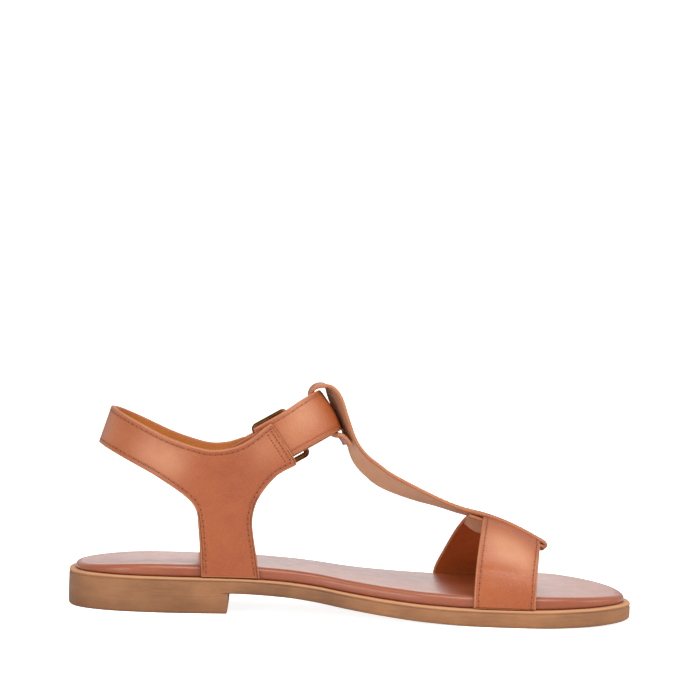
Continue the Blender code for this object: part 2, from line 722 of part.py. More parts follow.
# Buckle
def buckle_frame():
    """The wire frame of the buckle, a rectangle with small round corners."""
    front = BUCKLE_REAR_BAR + BUCKLE_LENGTH
    corners = (
        (front - BUCKLE_CORNER, BUCKLE_HALF_HEIGHT - BUCKLE_CORNER, 0),
        (BUCKLE_REAR_BAR + BUCKLE_CORNER, BUCKLE_HALF_HEIGHT - BUCKLE_CORNER, 90),
        (BUCKLE_REAR_BAR + BUCKLE_CORNER, BUCKLE_CORNER - BUCKLE_HALF_HEIGHT, 180),
        (front - BUCKLE_CORNER, BUCKLE_CORNER - BUCKLE_HALF_HEIGHT, 270),
    )
    points = []
    for along, up, start in corners:
        for turn in (0, 30, 60, 90):
            angle = math.radians(start + turn)
            turned = along + BUCKLE_CORNER * math.cos(angle), up + BUCKLE_CORNER * math.sin(angle)
            points.append(place(*on_ring(*turned, BUCKLE_Y)))
    bm = tube_solid(points, BUCKLE_WIRE_RADIUS * MM, 10, True)
    return finish_object("buckle_frame", bm, "brass", 0.3, 1.0)


def buckle_prong():
    """The prong, curled round the rear bar and resting on the front bar."""
    curl = BUCKLE_WIRE_RADIUS + SEAT_GAP + PRONG_RADIUS
    front = BUCKLE_REAR_BAR + BUCKLE_LENGTH
    path = []
    for degrees in range(-30, -271, -24):
        angle = math.radians(degrees)
        path.append((BUCKLE_REAR_BAR + curl * math.cos(angle), BUCKLE_Y + curl * math.sin(angle)))
    path += [(BUCKLE_REAR_BAR + reach, BUCKLE_Y + curl) for reach in (4.0, 8.0, 12.0)]
    path += [(front, BUCKLE_Y + curl), (front + 2.2, BUCKLE_Y + curl)]
    points = [place(*on_ring(along, 0, y)) for along, y in path]
    bm = tube_solid(points, PRONG_RADIUS * MM, 8, False)
    return finish_object("buckle_prong", bm, "brass", 0.3, 1.0)


def main():
    for old in list(bpy.data.objects):
        bpy.data.objects.remove(old)
    sandal = bpy.data.objects.new("sandal", None)
    bpy.context.scene.collection.objects.link(sandal)
    for make in (outsole, heel, insole, vamp_straps, quarter, ankle_strap, buckle_frame, buckle_prong):
        make().parent = sandal


main()
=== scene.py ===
# %% [markdown]
# # A flat leather sandal with a T-strap, dressed for its picture
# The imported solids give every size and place. This lesson dresses them: each strap becomes a wall of
# leather with a lining, a round edge and stitches, the sole gets its moulded edge, and the insole its
# glossy cover. The frame comes first, because every piece has to stay where its solid is.

import math
from collections import namedtuple

import bmesh
import bpy
from mathutils import Matrix, Vector
from mathutils.bvhtree import BVHTree
from mathutils.kdtree import KDTree


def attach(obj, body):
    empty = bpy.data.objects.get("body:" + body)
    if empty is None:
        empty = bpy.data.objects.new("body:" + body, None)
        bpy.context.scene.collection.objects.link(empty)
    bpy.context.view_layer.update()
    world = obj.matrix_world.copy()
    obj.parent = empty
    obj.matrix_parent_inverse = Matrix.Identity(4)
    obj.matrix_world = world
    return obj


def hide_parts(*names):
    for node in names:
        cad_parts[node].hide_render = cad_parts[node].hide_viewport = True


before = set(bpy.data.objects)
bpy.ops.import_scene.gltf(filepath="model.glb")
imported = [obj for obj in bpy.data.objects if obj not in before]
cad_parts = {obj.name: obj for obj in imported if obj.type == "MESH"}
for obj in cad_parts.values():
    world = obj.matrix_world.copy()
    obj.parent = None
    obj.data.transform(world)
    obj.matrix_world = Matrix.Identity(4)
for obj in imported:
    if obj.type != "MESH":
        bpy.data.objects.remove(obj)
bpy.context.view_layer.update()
MM = 0.001

# %% [markdown]
# ## Camera
# A shoe is usually photographed from far away with a long lens, just above the height of the sole, so
# that the sides stay parallel. Such a camera could be placed by eye. Here it is worked out from the
# angles that make the sole, straps and buckle fall where they are in the picture. The camera looks a
# little above the sandal, which puts the sandal in the lower half of the frame without any lens shift.

# %% Place the camera
CAMERA_TARGET = Vector((0.0, 0.0, 0.045))
CAMERA_DISTANCE = 2.0
CAMERA_AZIMUTH = math.radians(-0.8)
CAMERA_ELEVATION = math.radians(6.0)
CAMERA_ROLL = math.radians(2.1)
PICTURE_PIXELS = 700
SENSOR_WIDTH = 36.0
FOCAL_PIXELS = 4437.9
TARGET_RIGHT_OF_CENTRE = 1.75
TARGET_BELOW_CENTRE = 160.85


def camera_axes():
    """Right, up, forward and place of a camera turned about its target, rolled, and then aimed higher."""
    turn_cosine, turn_sine = math.cos(CAMERA_AZIMUTH), math.sin(CAMERA_AZIMUTH)
    flat = math.cos(CAMERA_ELEVATION)
    back = Vector((turn_sine * flat, -turn_cosine * flat, math.sin(CAMERA_ELEVATION)))
    right = Vector((turn_cosine, turn_sine, 0.0))
    up = back.cross(right)
    rolled_right = right * math.cos(CAMERA_ROLL) + up * math.sin(CAMERA_ROLL)
    rolled_up = up * math.cos(CAMERA_ROLL) - right * math.sin(CAMERA_ROLL)
    forward = -back * FOCAL_PIXELS - rolled_right * TARGET_RIGHT_OF_CENTRE + rolled_up * TARGET_BELOW_CENTRE
    forward.normalize()
    aimed_right = (rolled_right - forward * rolled_right.dot(forward)).normalized()
    return aimed_right, aimed_right.cross(forward), forward, CAMERA_TARGET + back * CAMERA_DISTANCE


def make_camera():
    """The picture's camera, with a long lens and no shift."""
    right, up, forward, position = camera_axes()
    camera_data = bpy.data.cameras.new("picture_camera")
    camera_data.sensor_width = SENSOR_WIDTH
    tilt = math.atan(TARGET_BELOW_CENTRE / FOCAL_PIXELS)
    camera_data.lens = SENSOR_WIDTH * FOCAL_PIXELS * math.cos(tilt) / PICTURE_PIXELS
    camera_data.clip_end = 100.0
    camera = bpy.data.objects.new("picture_camera", camera_data)
    bpy.context.scene.collection.objects.link(camera)
    turn = Matrix((right, up, -forward)).transposed().to_4x4()
    camera.matrix_world = Matrix.Translation(position) @ turn
    bpy.context.scene.camera = camera
    return camera


camera = make_camera()
camera_place = [round(v, 3) for v in camera.matrix_world.translation]
print("camera at", camera_place, "lens", round(camera.data.lens, 1))

# %% [markdown]
# ## Sizes of the sandal
# The tables below repeat the ones that the solids were built from, in millimetres. Stations are
# distances along the foot from the back of the heel. A table with a few rows and a smooth curve through
# them is easier to read and to change than a long list of points.

# %% Driving sizes
SOLE_LENGTH = 252.0
HEEL_LENGTH = 72.0
HEEL_CENTRE_Y = -3.0
TOE_TIP_Y = -14.0
INSOLE_MARGIN = 2.9
STRAP_THICKNESS = 2.0
INSTEP_STRAP_THICKNESS = 1.7
ANKLE_STRAP_THICKNESS = 1.8
FOLD_THICKNESS = 1.2
ANKLE_STRAP_HALF_WIDTH = 9.5
INSTEP_STRAP_HALF_WIDTH = 9.0
ANKLE_CENTRE_Y = -1.0
ANKLE_HALF_WIDTH = 26.5
SEAT_GAP = 0.3
STRAP_SEAT_INSET = 1.3
INSOLE_BANK_START, INSOLE_BANK_END = 186.0, 222.0
INSOLE_BANK, INSOLE_BANK_REACH = 2.8, 56.0
HEEL_ROUND, HEEL_FULLNESS = 38.0, 2.5
TOE_ROUND_MEDIAL, TOE_FULLNESS_MEDIAL = 50.0, 2.05
TOE_ROUND_LATERAL, TOE_FULLNESS_LATERAL = 56.0, 2.1
BALL_STATION = 192.0

SoleRow = namedtuple("SoleRow", "station medial lateral underside thickness insole")
SOLE_ROWS = (
    SoleRow(0.0, -33.7, 27.7, 9.0, 7.0, 2.2),
    SoleRow(14.0, -33.7, 27.7, 9.0, 7.0, 3.4),
    SoleRow(28.0, -33.7, 27.7, 9.0, 6.9, 4.6),
    SoleRow(42.0, -33.7, 27.7, 9.0, 6.9, 5.1),
    SoleRow(76.0, -29.8, 28.6, 9.0, 6.7, 5.2),
    SoleRow(95.0, -29.6, 28.6, 8.3, 6.7, 5.2),
    SoleRow(110.0, -31.0, 29.6, 6.8, 6.9, 5.2),
    SoleRow(125.0, -34.5, 32.6, 4.5, 7.1, 5.2),
    SoleRow(142.0, -39.6, 37.8, 2.5, 7.3, 5.2),
    SoleRow(160.0, -43.6, 42.8, 1.0, 7.5, 5.2),
    SoleRow(178.0, -45.2, 45.0, 0.2, 7.7, 5.2),
    SoleRow(192.0, -45.1, 45.2, 0.0, 7.8, 5.3),
    SoleRow(208.0, -44.6, 44.4, 0.0, 7.9, 5.4),
    SoleRow(230.0, -44.0, 42.0, 0.6, 8.1, 4.6),
    SoleRow(252.0, -44.0, 40.0, 2.4, 7.8, 3.0),
)
print("the sole's table has", len(SOLE_ROWS), "rows")


# %% Curves through the rows of a table
def hermite_slopes(xs, ys):
    """Slopes of a smooth curve through the points that adds no bumps between them."""
    steps = [xs[i + 1] - xs[i] for i in range(len(xs) - 1)]
    rises = [(ys[i + 1] - ys[i]) / steps[i] for i in range(len(steps))]
    slopes = [rises[0]]
    for i in range(1, len(steps)):
        if rises[i - 1] * rises[i] <= 0:
            slopes.append(0.0)
        else:
            before = 2 * steps[i] + steps[i - 1]
            after = steps[i] + 2 * steps[i - 1]
            slopes.append((before + after) / (before / rises[i - 1] + after / rises[i]))
    slopes.append(rises[-1])
    return slopes


def sole_value(name, station):
    """A column of the sole's table, read smoothly at a station."""
    xs = [row.station for row in SOLE_ROWS]
    ys = [getattr(row, name) for row in SOLE_ROWS]
    slopes = hermite_slopes(xs, ys)
    station = min(max(station, xs[0]), xs[-1])
    i = max(k for k in range(len(xs) - 1) if xs[k] <= station)
    step = xs[i + 1] - xs[i]
    t = (station - xs[i]) / step
    rise = ys[i] * (1 + 2 * t) * (1 - t) ** 2 + ys[i + 1] * t * t * (3 - 2 * t)
    return rise + step * (slopes[i] * t * (1 - t) ** 2 + slopes[i + 1] * t * t * (t - 1))


def curve_point(a, b, c, d, t):
    """A value between b and c on a smooth curve through a, b, c and d."""
    first = (c - a) * t
    second = (2 * a - 5 * b + 4 * c - d) * t * t
    third = (3 * b - a - 3 * c + d) * t**3
    return 0.5 * (2 * b + first + second + third)


def smooth_rows(rows, per_row):
    """Rows on a smooth curve through a table, with per_row steps from each of its rows to the next."""
    ends = [rows[0], *rows, rows[-1]]
    found = []
    for i in range(1, len(ends) - 2):
        near = ends[i - 1 : i + 3]
        for k in range(per_row):
            found.append(rows[0]._make(curve_point(*values, k / per_row) for values in zip(*near)))
    return found + [rows[-1]]


def ease(value, low, high):
    """A soft step from 0 at low to 1 at high."""
    share = min(max((value - low) / (high - low), 0.0), 1.0)
    return share * share * (3 - 2 * share)


def place(station, y, height):
    """A point of the sandal in metres, in the part's own frame."""
    return Vector(((station - SOLE_LENGTH / 2) * MM, y * MM, height * MM))


ball_width = sole_value("lateral", BALL_STATION) - sole_value("medial", BALL_STATION)
print("sole is", round(ball_width, 1), "mm wide at the ball")


# %% Form of the sole
def rounding(distance, length, fullness):
    """Share of the full width at a distance from a round end."""
    share = min(max(distance / length, 0.0), 1.0)
    return (1 - (1 - share) ** fullness) ** (1 / fullness)


def sole_edge(station, side):
    """Distance of the outsole's edge from the centre line; side is -1 medial, +1 lateral."""
    medial = side < 0
    y = sole_value("medial" if medial else "lateral", station)
    y = HEEL_CENTRE_Y + (y - HEEL_CENTRE_Y) * rounding(station, HEEL_ROUND, HEEL_FULLNESS)
    length = TOE_ROUND_MEDIAL if medial else TOE_ROUND_LATERAL
    fullness = TOE_FULLNESS_MEDIAL if medial else TOE_FULLNESS_LATERAL
    return TOE_TIP_Y + (y - TOE_TIP_Y) * rounding(SOLE_LENGTH - station, length, fullness)


def underside(station):
    """Height of the outsole's underside."""
    return sole_value("underside", station)


def sole_top(station):
    """Height of the outsole's top."""
    return underside(station) + sole_value("thickness", station)


def insole_height(station, y):
    """Thickness of the insole, which thins towards both ends and rises to the side under the toes."""
    bank = INSOLE_BANK * max(y - TOE_TIP_Y, 0) / INSOLE_BANK_REACH
    bank *= ease(station, INSOLE_BANK_START, INSOLE_BANK_END)
    return sole_value("insole", station) + bank


def rails(stations, inset_at):
    """Medial and lateral edge points (station, y), moved inwards by inset_at(station)."""
    found = []
    for side in (-1, 1):
        points = [(s, sole_edge(s, side)) for s in stations]
        moved = []
        for i, (s, y) in enumerate(points):
            before, after = points[max(i - 1, 0)], points[min(i + 1, len(points) - 1)]
            if s <= 0:
                before = (points[1][0], 2 * y - points[1][1])
            if s >= SOLE_LENGTH:
                after = (points[-2][0], 2 * y - points[-2][1])
            along = Vector((after[0] - before[0], after[1] - before[1])).normalized()
            inset = inset_at(s)
            moved.append((s + side * along.y * inset, y - side * along.x * inset))
        found.append(moved)
    return found


print("toe spring is", underside(SOLE_LENGTH), "mm, sole top at the heel", round(sole_top(0), 1), "mm")

# %% [markdown]
# ## Shader groups
# Leather, lining and sole share a few effects: the pores of the hide, soft patches of colour, and the
# way a surface darkens near an edge, a burnish on the straps and painted shade on the insole. Each
# effect could be copied into every material. As a node group it is built once, and each material gives
# it its own scale and strength.


# %% Helpers for shader nodes
def tone(red, green, blue):
    """A colour as seen on a screen, turned into the linear light values that shaders use."""
    found = []
    for value in (red, green, blue):
        share = value / 255
        found.append(share / 12.92 if share <= 0.04045 else ((share + 0.055) / 1.055) ** 2.4)
    return (*found, 1.0)


def node(tree, kind, inputs=None, **settings):
    """A new node, its settings, and its inputs by name or number: a value, or another node's output."""
    made = tree.nodes.new(kind)
    for key, value in settings.items():
        setattr(made, key, value)
    for key, value in (inputs or {}).items():
        if isinstance(value, bpy.types.NodeSocket):
            tree.links.new(value, made.inputs[key])
        else:
            made.inputs[key].default_value = value
    return made


def maths(tree, operation, first, second=0.5, third=0.0):
    """The output of a math node."""
    return node(tree, "ShaderNodeMath", {0: first, 1: second, 2: third}, operation=operation).outputs[0]


def vector_maths(tree, operation, inputs):
    """The vector that a vector math node puts out."""
    return node(tree, "ShaderNodeVectorMath", inputs, operation=operation).outputs["Vector"]


def soft_range(tree, value, low, high, to_low=0.0, to_high=1.0):
    """A value eased from one range into another."""
    inputs = {"Value": value, "From Min": low, "From Max": high, "To Min": to_low, "To Max": to_high}
    return node(tree, "ShaderNodeMapRange", inputs, interpolation_type="SMOOTHSTEP").outputs["Result"]


def mixed(tree, mask, first, second):
    """A colour between first and second by a mask."""
    made = node(tree, "ShaderNodeMix", {"Factor": mask}, data_type="RGBA")
    for socket, value in (("A_Color", first), ("B_Color", second)):
        target = next(s for s in made.inputs if s.identifier == socket)
        if isinstance(value, bpy.types.NodeSocket):
            tree.links.new(value, target)
        else:
            target.default_value = value
    return next(s for s in made.outputs if s.identifier == "Result_Color")


def new_group(name, inputs, outputs):
    """An empty shader group with number sockets, and its two end nodes."""
    group = bpy.data.node_groups.new(name, "ShaderNodeTree")
    for label, value in inputs.items():
        socket = group.interface.new_socket(label, in_out="INPUT", socket_type="NodeSocketFloat")
        socket.default_value = value
    for label in outputs:
        group.interface.new_socket(label, in_out="OUTPUT", socket_type="NodeSocketFloat")
    return group, group.nodes.new("NodeGroupInput"), group.nodes.new("NodeGroupOutput")


def placed(tree, group, values):
    """The outputs of a group that is placed in a material with its own values."""
    return node(tree, "ShaderNodeGroup", values, node_tree=group).outputs


def dress(tree, shader, colour, roughness):
    """Gives the shader a colour and a roughness that change over the surface."""
    tree.links.new(colour, shader.inputs["Base Color"])
    tree.links.new(roughness, shader.inputs["Roughness"])


def emboss(tree, shader, height, depth, strength):
    """Gives the shader a bump from a height, so many millimetres deep."""
    relief = node(tree, "ShaderNodeBump", {"Height": height, "Distance": depth * MM, "Strength": strength})
    tree.links.new(relief.outputs[0], shader.inputs["Normal"])


print("linear light of a mid tan:", [round(v, 3) for v in tone(195, 121, 82)])


# %% Group: pores and fine wrinkles of the hide
PEBBLE_SWIRL = 1.2
PEBBLE_SHARE, WRINKLE_SHARE = 0.55, 0.45


def make_hide_grain():
    """Small pebbles of grain with fine wrinkles over them."""
    scales = {"Pebble Scale": 900.0, "Wrinkle Scale": 260.0}
    group, start, end = new_group("hide_grain", scales, ("Height", "Pores"))
    where = node(group, "ShaderNodeTexCoord").outputs["Object"]
    swirl = node(group, "ShaderNodeTexNoise", {"Vector": where, "Scale": 420.0, "Detail": 2.0})
    centred = vector_maths(group, "SUBTRACT", {0: swirl.outputs["Color"], 1: (0.5, 0.5, 0.5)})
    shift = vector_maths(group, "SCALE", {0: centred, "Scale": PEBBLE_SWIRL * MM})
    bent_where = vector_maths(group, "ADD", {0: where, 1: shift})
    pebbles = node(
        group,
        "ShaderNodeTexVoronoi",
        {"Vector": bent_where, "Scale": start.outputs["Pebble Scale"]},
        feature="DISTANCE_TO_EDGE",
    )
    pebble = soft_range(group, pebbles.outputs["Distance"], 0.0, 0.28)
    wrinkles = node(
        group,
        "ShaderNodeTexNoise",
        {"Vector": where, "Scale": start.outputs["Wrinkle Scale"], "Detail": 4.0, "Roughness": 0.6},
    )
    wrinkle = maths(group, "MULTIPLY", wrinkles.outputs[0], WRINKLE_SHARE)
    height = maths(group, "MULTIPLY_ADD", pebble, PEBBLE_SHARE, wrinkle)
    group.links.new(height, end.inputs["Height"])
    group.links.new(maths(group, "SUBTRACT", 1.0, pebble), end.inputs["Pores"])
    return group


hide_grain = make_hide_grain()
grain_outputs = [s.name for s in hide_grain.interface.items_tree if s.in_out == "OUTPUT"]
print("group", hide_grain.name, "puts out", grain_outputs)


# %% Group: soft patches of colour
def make_soft_patches():
    """Cloudy patches with softer and finer clouds inside them."""
    group, start, end = new_group("soft_patches", {"Patch Scale": 30.0, "Contrast": 1.0}, ("Mask",))
    where = node(group, "ShaderNodeTexCoord").outputs["Object"]
    clouds = node(
        group,
        "ShaderNodeTexNoise",
        {"Vector": where, "Scale": start.outputs["Patch Scale"], "Detail": 5.0, "Roughness": 0.55},
    )
    spread = maths(group, "SUBTRACT", clouds.outputs[0], 0.5)
    spread = maths(group, "MULTIPLY", spread, start.outputs["Contrast"])
    spread = maths(group, "MULTIPLY_ADD", spread, 2.0, 0.5)
    group.links.new(node(group, "ShaderNodeClamp", {0: spread}).outputs[0], end.inputs["Mask"])
    return group


soft_patches = make_soft_patches()
print("group", soft_patches.name, "is ready")


# %% Group: what happens near an edge
def make_edge_wear_and_shade():
    """A mask that is 1 on an edge and fades with distance, broken up by noise: burnish or painted shade."""
    reaches = {"Edge Distance": 5.0, "Reach": 2.0, "Breakup": 0.8}
    group, start, end = new_group("edge_wear_and_shade", reaches, ("Mask",))
    distance, reach, breakup = (start.outputs[name] for name in reaches)
    where = node(group, "ShaderNodeTexCoord").outputs["Object"]
    patches = node(group, "ShaderNodeTexNoise", {"Vector": where, "Scale": 240.0, "Detail": 3.0}).outputs[0]
    uneven = maths(group, "SUBTRACT", patches, 0.5)
    share = maths(group, "DIVIDE", maths(group, "MULTIPLY_ADD", uneven, breakup, distance), reach)
    group.links.new(soft_range(group, share, 0.0, 1.0, 1.0, 0.0), end.inputs["Mask"])
    return group


edge_wear_and_shade = make_edge_wear_and_shade()
print("group", edge_wear_and_shade.name, "is ready")

# %% [markdown]
# ## Leather, lining, edge and thread
# The straps are smooth vegetable-tanned leather: a tan with soft lighter and darker patches, a low
# sheen, fine pores, and a slightly darker burnish along the cut edge. Pale painted highlights are laid
# over it in listed spots. A plain colour would look like plastic. So the colour, the roughness and the
# bump each vary with the groups above, and a shallow channel follows each row of stitches. The distance
# to the nearest edge and the painted highlights are stored on the mesh, which lets the shader find them
# on any strap.


# %% Build one leather finish from its colours
STITCH_INSET = 2.1
PATCH_SHARE, CLOUD_SHARE = 0.7, 0.3
EDGE_BURNISH, PORE_BURNISH = 0.35, 0.16
CHANNEL_BURNISH, CHANNEL_DEPTH = 0.18, 1.6
DENT_DEPTH = 5.0
GRAIN_DEPTH = 0.22
# Painted highlight: a pale tone laid over listed spots on the straps' outer face
PAINTED_HIGHLIGHT_TONE = tone(214, 150, 112)
PAINTED_HIGHLIGHT_SHARE = 0.75
LeatherRow = namedtuple("LeatherRow", "name deep light burnish rough bump outside")


def new_material(name):
    """A new material, its node tree and its Principled shader."""
    material = bpy.data.materials.new(name)
    material.use_nodes = True
    tree = material.node_tree
    return material, tree, tree.nodes["Principled BSDF"]


def stored(tree, name):
    """A value that is stored on the points of the mesh."""
    return node(tree, "ShaderNodeAttribute", attribute_name=name).outputs["Fac"]


def leather_finish(row):
    """Leather between two tones, burnished at the edge; the outside has pale painted highlights and a
    stitch channel.
    """
    material, tree, shader = new_material(row.name)
    burnish = tone(*row.burnish)
    patches = placed(tree, soft_patches, {"Patch Scale": 24.0, "Contrast": 1.4})["Mask"]
    clouds = placed(tree, soft_patches, {"Patch Scale": 150.0, "Contrast": 0.8})["Mask"]
    dents = placed(tree, soft_patches, {"Patch Scale": 62.0, "Contrast": 0.7})["Mask"]
    grain = placed(tree, hide_grain, {"Pebble Scale": 1150.0, "Wrinkle Scale": 300.0})
    near_edge = {"Edge Distance": stored(tree, "edge_distance"), "Reach": 1.3}
    edge = placed(tree, edge_wear_and_shade, near_edge)["Mask"]
    shade = maths(tree, "MULTIPLY_ADD", clouds, CLOUD_SHARE, maths(tree, "MULTIPLY", patches, PATCH_SHARE))
    colour = mixed(tree, shade, tone(*row.deep), tone(*row.light))
    colour = mixed(tree, maths(tree, "MULTIPLY", edge, EDGE_BURNISH), colour, burnish)
    colour = mixed(tree, maths(tree, "MULTIPLY", grain["Pores"], PORE_BURNISH), colour, burnish)
    height = maths(tree, "MULTIPLY_ADD", dents, DENT_DEPTH, grain["Height"])
    if row.outside:
        # Painted highlight: the stored pull value weighs the listed highlight spots, which are mixed
        # towards a pale tone
        uneven = maths(tree, "MULTIPLY", stored(tree, "pull"), soft_range(tree, shade, 0.0, 0.7, 0.5, 1.0))
        colour = mixed(tree, maths(tree, "MULTIPLY", uneven, PAINTED_HIGHLIGHT_SHARE), colour, PAINTED_HIGHLIGHT_TONE)
        away = maths(tree, "SUBTRACT", stored(tree, "stitched_edge"), STITCH_INSET)
        channel = soft_range(tree, maths(tree, "ABSOLUTE", away), 0.1, 1.0, 1.0, 0.0)
        colour = mixed(tree, maths(tree, "MULTIPLY", channel, CHANNEL_BURNISH), colour, burnish)
        height = maths(tree, "MULTIPLY_ADD", channel, -CHANNEL_DEPTH, height)
    roughness = maths(tree, "MULTIPLY_ADD", patches, -0.14, row.rough + 0.05)
    dress(tree, shader, colour, maths(tree, "MULTIPLY_ADD", grain["Pores"], 0.12, roughness))
    emboss(tree, shader, height, GRAIN_DEPTH, row.bump)
    shader.inputs["Specular IOR Level"].default_value = 0.6
    return material


LEATHER_ROWS = (
    LeatherRow("strap_leather", (157, 72, 27), (184, 96, 42), (124, 53, 20), 0.4, 0.5, True),
    LeatherRow("strap_lining", (172, 78, 22), (196, 102, 38), (140, 58, 16), 0.6, 0.4, False),
    # The heel lining is the lining leather painted lighter, standing in for light on the inner faces of the
    # heel and ankle straps, which lie in shade
    LeatherRow("heel_lining_painted_light", (188, 104, 33), (212, 130, 50), (156, 82, 28), 0.6, 0.4, False),
    LeatherRow("taupe_lining", (213, 163, 125), (232, 188, 152), (190, 132, 94), 0.62, 0.4, False),
    LeatherRow("cut_edge", (182, 106, 62), (212, 146, 102), (176, 98, 56), 0.5, 0.7, False),
)
strap_leather, strap_lining, heel_lining_painted_light, taupe_lining, cut_edge = map(leather_finish, LEATHER_ROWS)
print("leather finishes:", [row.name for row in LEATHER_ROWS])


# %% Thread and needle holes
STRAND_DEPTH = 0.1


def thread_finish():
    """Waxed thread, twisted from three strands."""
    material, tree, shader = new_material("waxed_thread")
    where = node(tree, "ShaderNodeTexCoord").outputs["Object"]
    strands = node(tree, "ShaderNodeTexWave", {"Vector": where, "Scale": 900.0, "Distortion": 3.0})
    fuzz = placed(tree, soft_patches, {"Patch Scale": 900.0, "Contrast": 1.4})["Mask"]
    colour = mixed(tree, fuzz, tone(142, 70, 36), tone(172, 94, 54))
    dress(tree, shader, colour, maths(tree, "MULTIPLY_ADD", fuzz, 0.2, 0.45))
    emboss(tree, shader, strands.outputs[0], STRAND_DEPTH, 0.6)
    return material


def hole_shade_finish():
    """Painted shade for the inside of a needle hole or punched hole: dark, with a little of the leather's
    red in it.
    """
    material, tree, shader = new_material("hole_shade")
    patches = placed(tree, soft_patches, {"Patch Scale": 600.0, "Contrast": 1.0})["Mask"]
    colour = mixed(tree, patches, tone(92, 42, 20), tone(124, 62, 32))
    dress(tree, shader, colour, maths(tree, "MULTIPLY_ADD", patches, 0.1, 0.8))
    return material


waxed_thread = thread_finish()
hole_shade = hole_shade_finish()
print("thread and hole finishes are ready")

# %% [markdown]
# ## From a sheet to a strap
# A strap is two layers, leather and lining, glued together and trimmed, with its edge rounded and
# painted. It could be a flat plane with a Solidify modifier. Here the wall is built straight from the
# middle sheet, because then the outer face, the lining and the round edge each get their own finish,
# and every point knows how far its edge is. Soft creases are pressed into the sheet first: each is a
# line on the strap with a width and a depth. A spot is a place where a pale painted highlight is laid
# on the leather.

# %% Measure a sheet and press creases into it
CREASE_END_SHARE = 0.35
FARTHEST_EDGE = 20.0
Crease = namedtuple("Crease", "start end width depth")
# A spot with a place, a reach and a strength: painted highlight on the straps, painted shade on the sole
Spot = namedtuple("Spot", "station y height radius strength")


def grid_faces(rows, columns, gaps=(), flip=False):
    """Faces of a grid of points numbered row by row, without the cells (row, column) in gaps."""
    faces = []
    for i in range(rows - 1):
        for j in range(columns - 1):
            if (i, j) not in gaps:
                corner = i * columns + j
                face = (corner, corner + 1, corner + columns + 1, corner + columns)
                faces.append(tuple(reversed(face)) if flip else face)
    return faces


def free_edges(faces):
    """Pairs of point numbers along the free edges of a sheet."""
    edges = set()
    for face in faces:
        edges.update(zip(face, face[1:] + face[:1]))
    return sorted((a, b) for a, b in edges if (b, a) not in edges)


def sheet_normals(points, faces):
    """The direction out of the sheet at each point."""
    sheet = bmesh.new()
    verts = [sheet.verts.new(p) for p in points]
    for face in faces:
        sheet.faces.new([verts[i] for i in face])
    sheet.normal_update()
    found = [v.normal.copy() for v in verts]
    sheet.free()
    return found


def press_creases(points, faces, creases):
    """The sheet's points, moved in or out along soft lines that are deepest in their middle."""
    moved = []
    for point, normal in zip(points, sheet_normals(points, faces)):
        push = 0.0
        for crease in creases:
            start, end = place(*crease.start), place(*crease.end)
            along = end - start
            share = min(max((point - start).dot(along) / along.length_squared, 0.0), 1.0)
            distance = (point - start - along * share).length / (crease.width * MM)
            fade = CREASE_END_SHARE + (1 - CREASE_END_SHARE) * math.sin(math.pi * share)
            push += crease.depth * MM * math.exp(-distance * distance) * fade
        moved.append(point - normal * push)
    return moved


def spot_weights(points, spots):
    """The weight of the listed spots at each point, from 0 to 1: painted highlight on a strap, painted
    shade on the sole.
    """
    found = []
    for point in points:
        total = 0.0
        for pull in spots:
            distance = (point - place(pull.station, pull.y, pull.height)).length / (pull.radius * MM)
            total += pull.strength * math.exp(-distance * distance)
        found.append(min(total, 1.0))
    return found


def edge_directions(points, faces, normals):
    """For each point on a free edge, the direction out of the sheet past that edge."""
    found = {}
    for a, b in free_edges(faces):
        away = (points[b] - points[a]).cross(normals[a] + normals[b]).normalized()
        for i in (a, b):
            found[i] = found.get(i, Vector()) + away
    return {i: away.normalized() for i, away in found.items()}


def distances(points, targets):
    """Distance from each point to the nearest target, in millimetres and up to a limit."""
    tree = KDTree(len(targets))
    for i, target in enumerate(targets):
        tree.insert(target, i)
    tree.balance()
    return [min(tree.find(p)[2] / MM, FARTHEST_EDGE) for p in points]


def between(points, chain, step):
    """Points at short steps along a chain of point numbers."""
    found = []
    for a, b in zip(chain, chain[1:]):
        count = max(1, int((points[b] - points[a]).length / step))
        found += [points[a].lerp(points[b], k / count) for k in range(count)]
    return found + [points[chain[-1]]]


print("a crease keeps", CREASE_END_SHARE, "of its depth at its ends")

# %% Turn points, faces and finishes into a piece of the object
RIM_STEPS = 5
RIM_FULLNESS = 0.75
RIM_SAMPLE = 0.4
OUTER_FACE, INNER_FACE, RIM_FACE = 0, 1, 2


def mesh_piece(name, points, faces, finishes, finish_of=None, values=None):
    """A piece from points and faces, with values stored on its points, riding on the sandal's one body."""
    mesh = bpy.data.meshes.new(name)
    mesh.from_pydata([tuple(p) for p in points], [], [tuple(f) for f in faces])
    for finish in finishes:
        mesh.materials.append(finish)
    if finish_of:
        mesh.polygons.foreach_set("material_index", finish_of)
    for label, numbers in (values or {}).items():
        mesh.attributes.new(label, "FLOAT", "POINT").data.foreach_set("value", numbers)
    mesh.validate()
    mesh.shade_smooth()
    piece = bpy.data.objects.new(name, mesh)
    bpy.context.scene.collection.objects.link(piece)
    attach(piece, "root")
    return piece


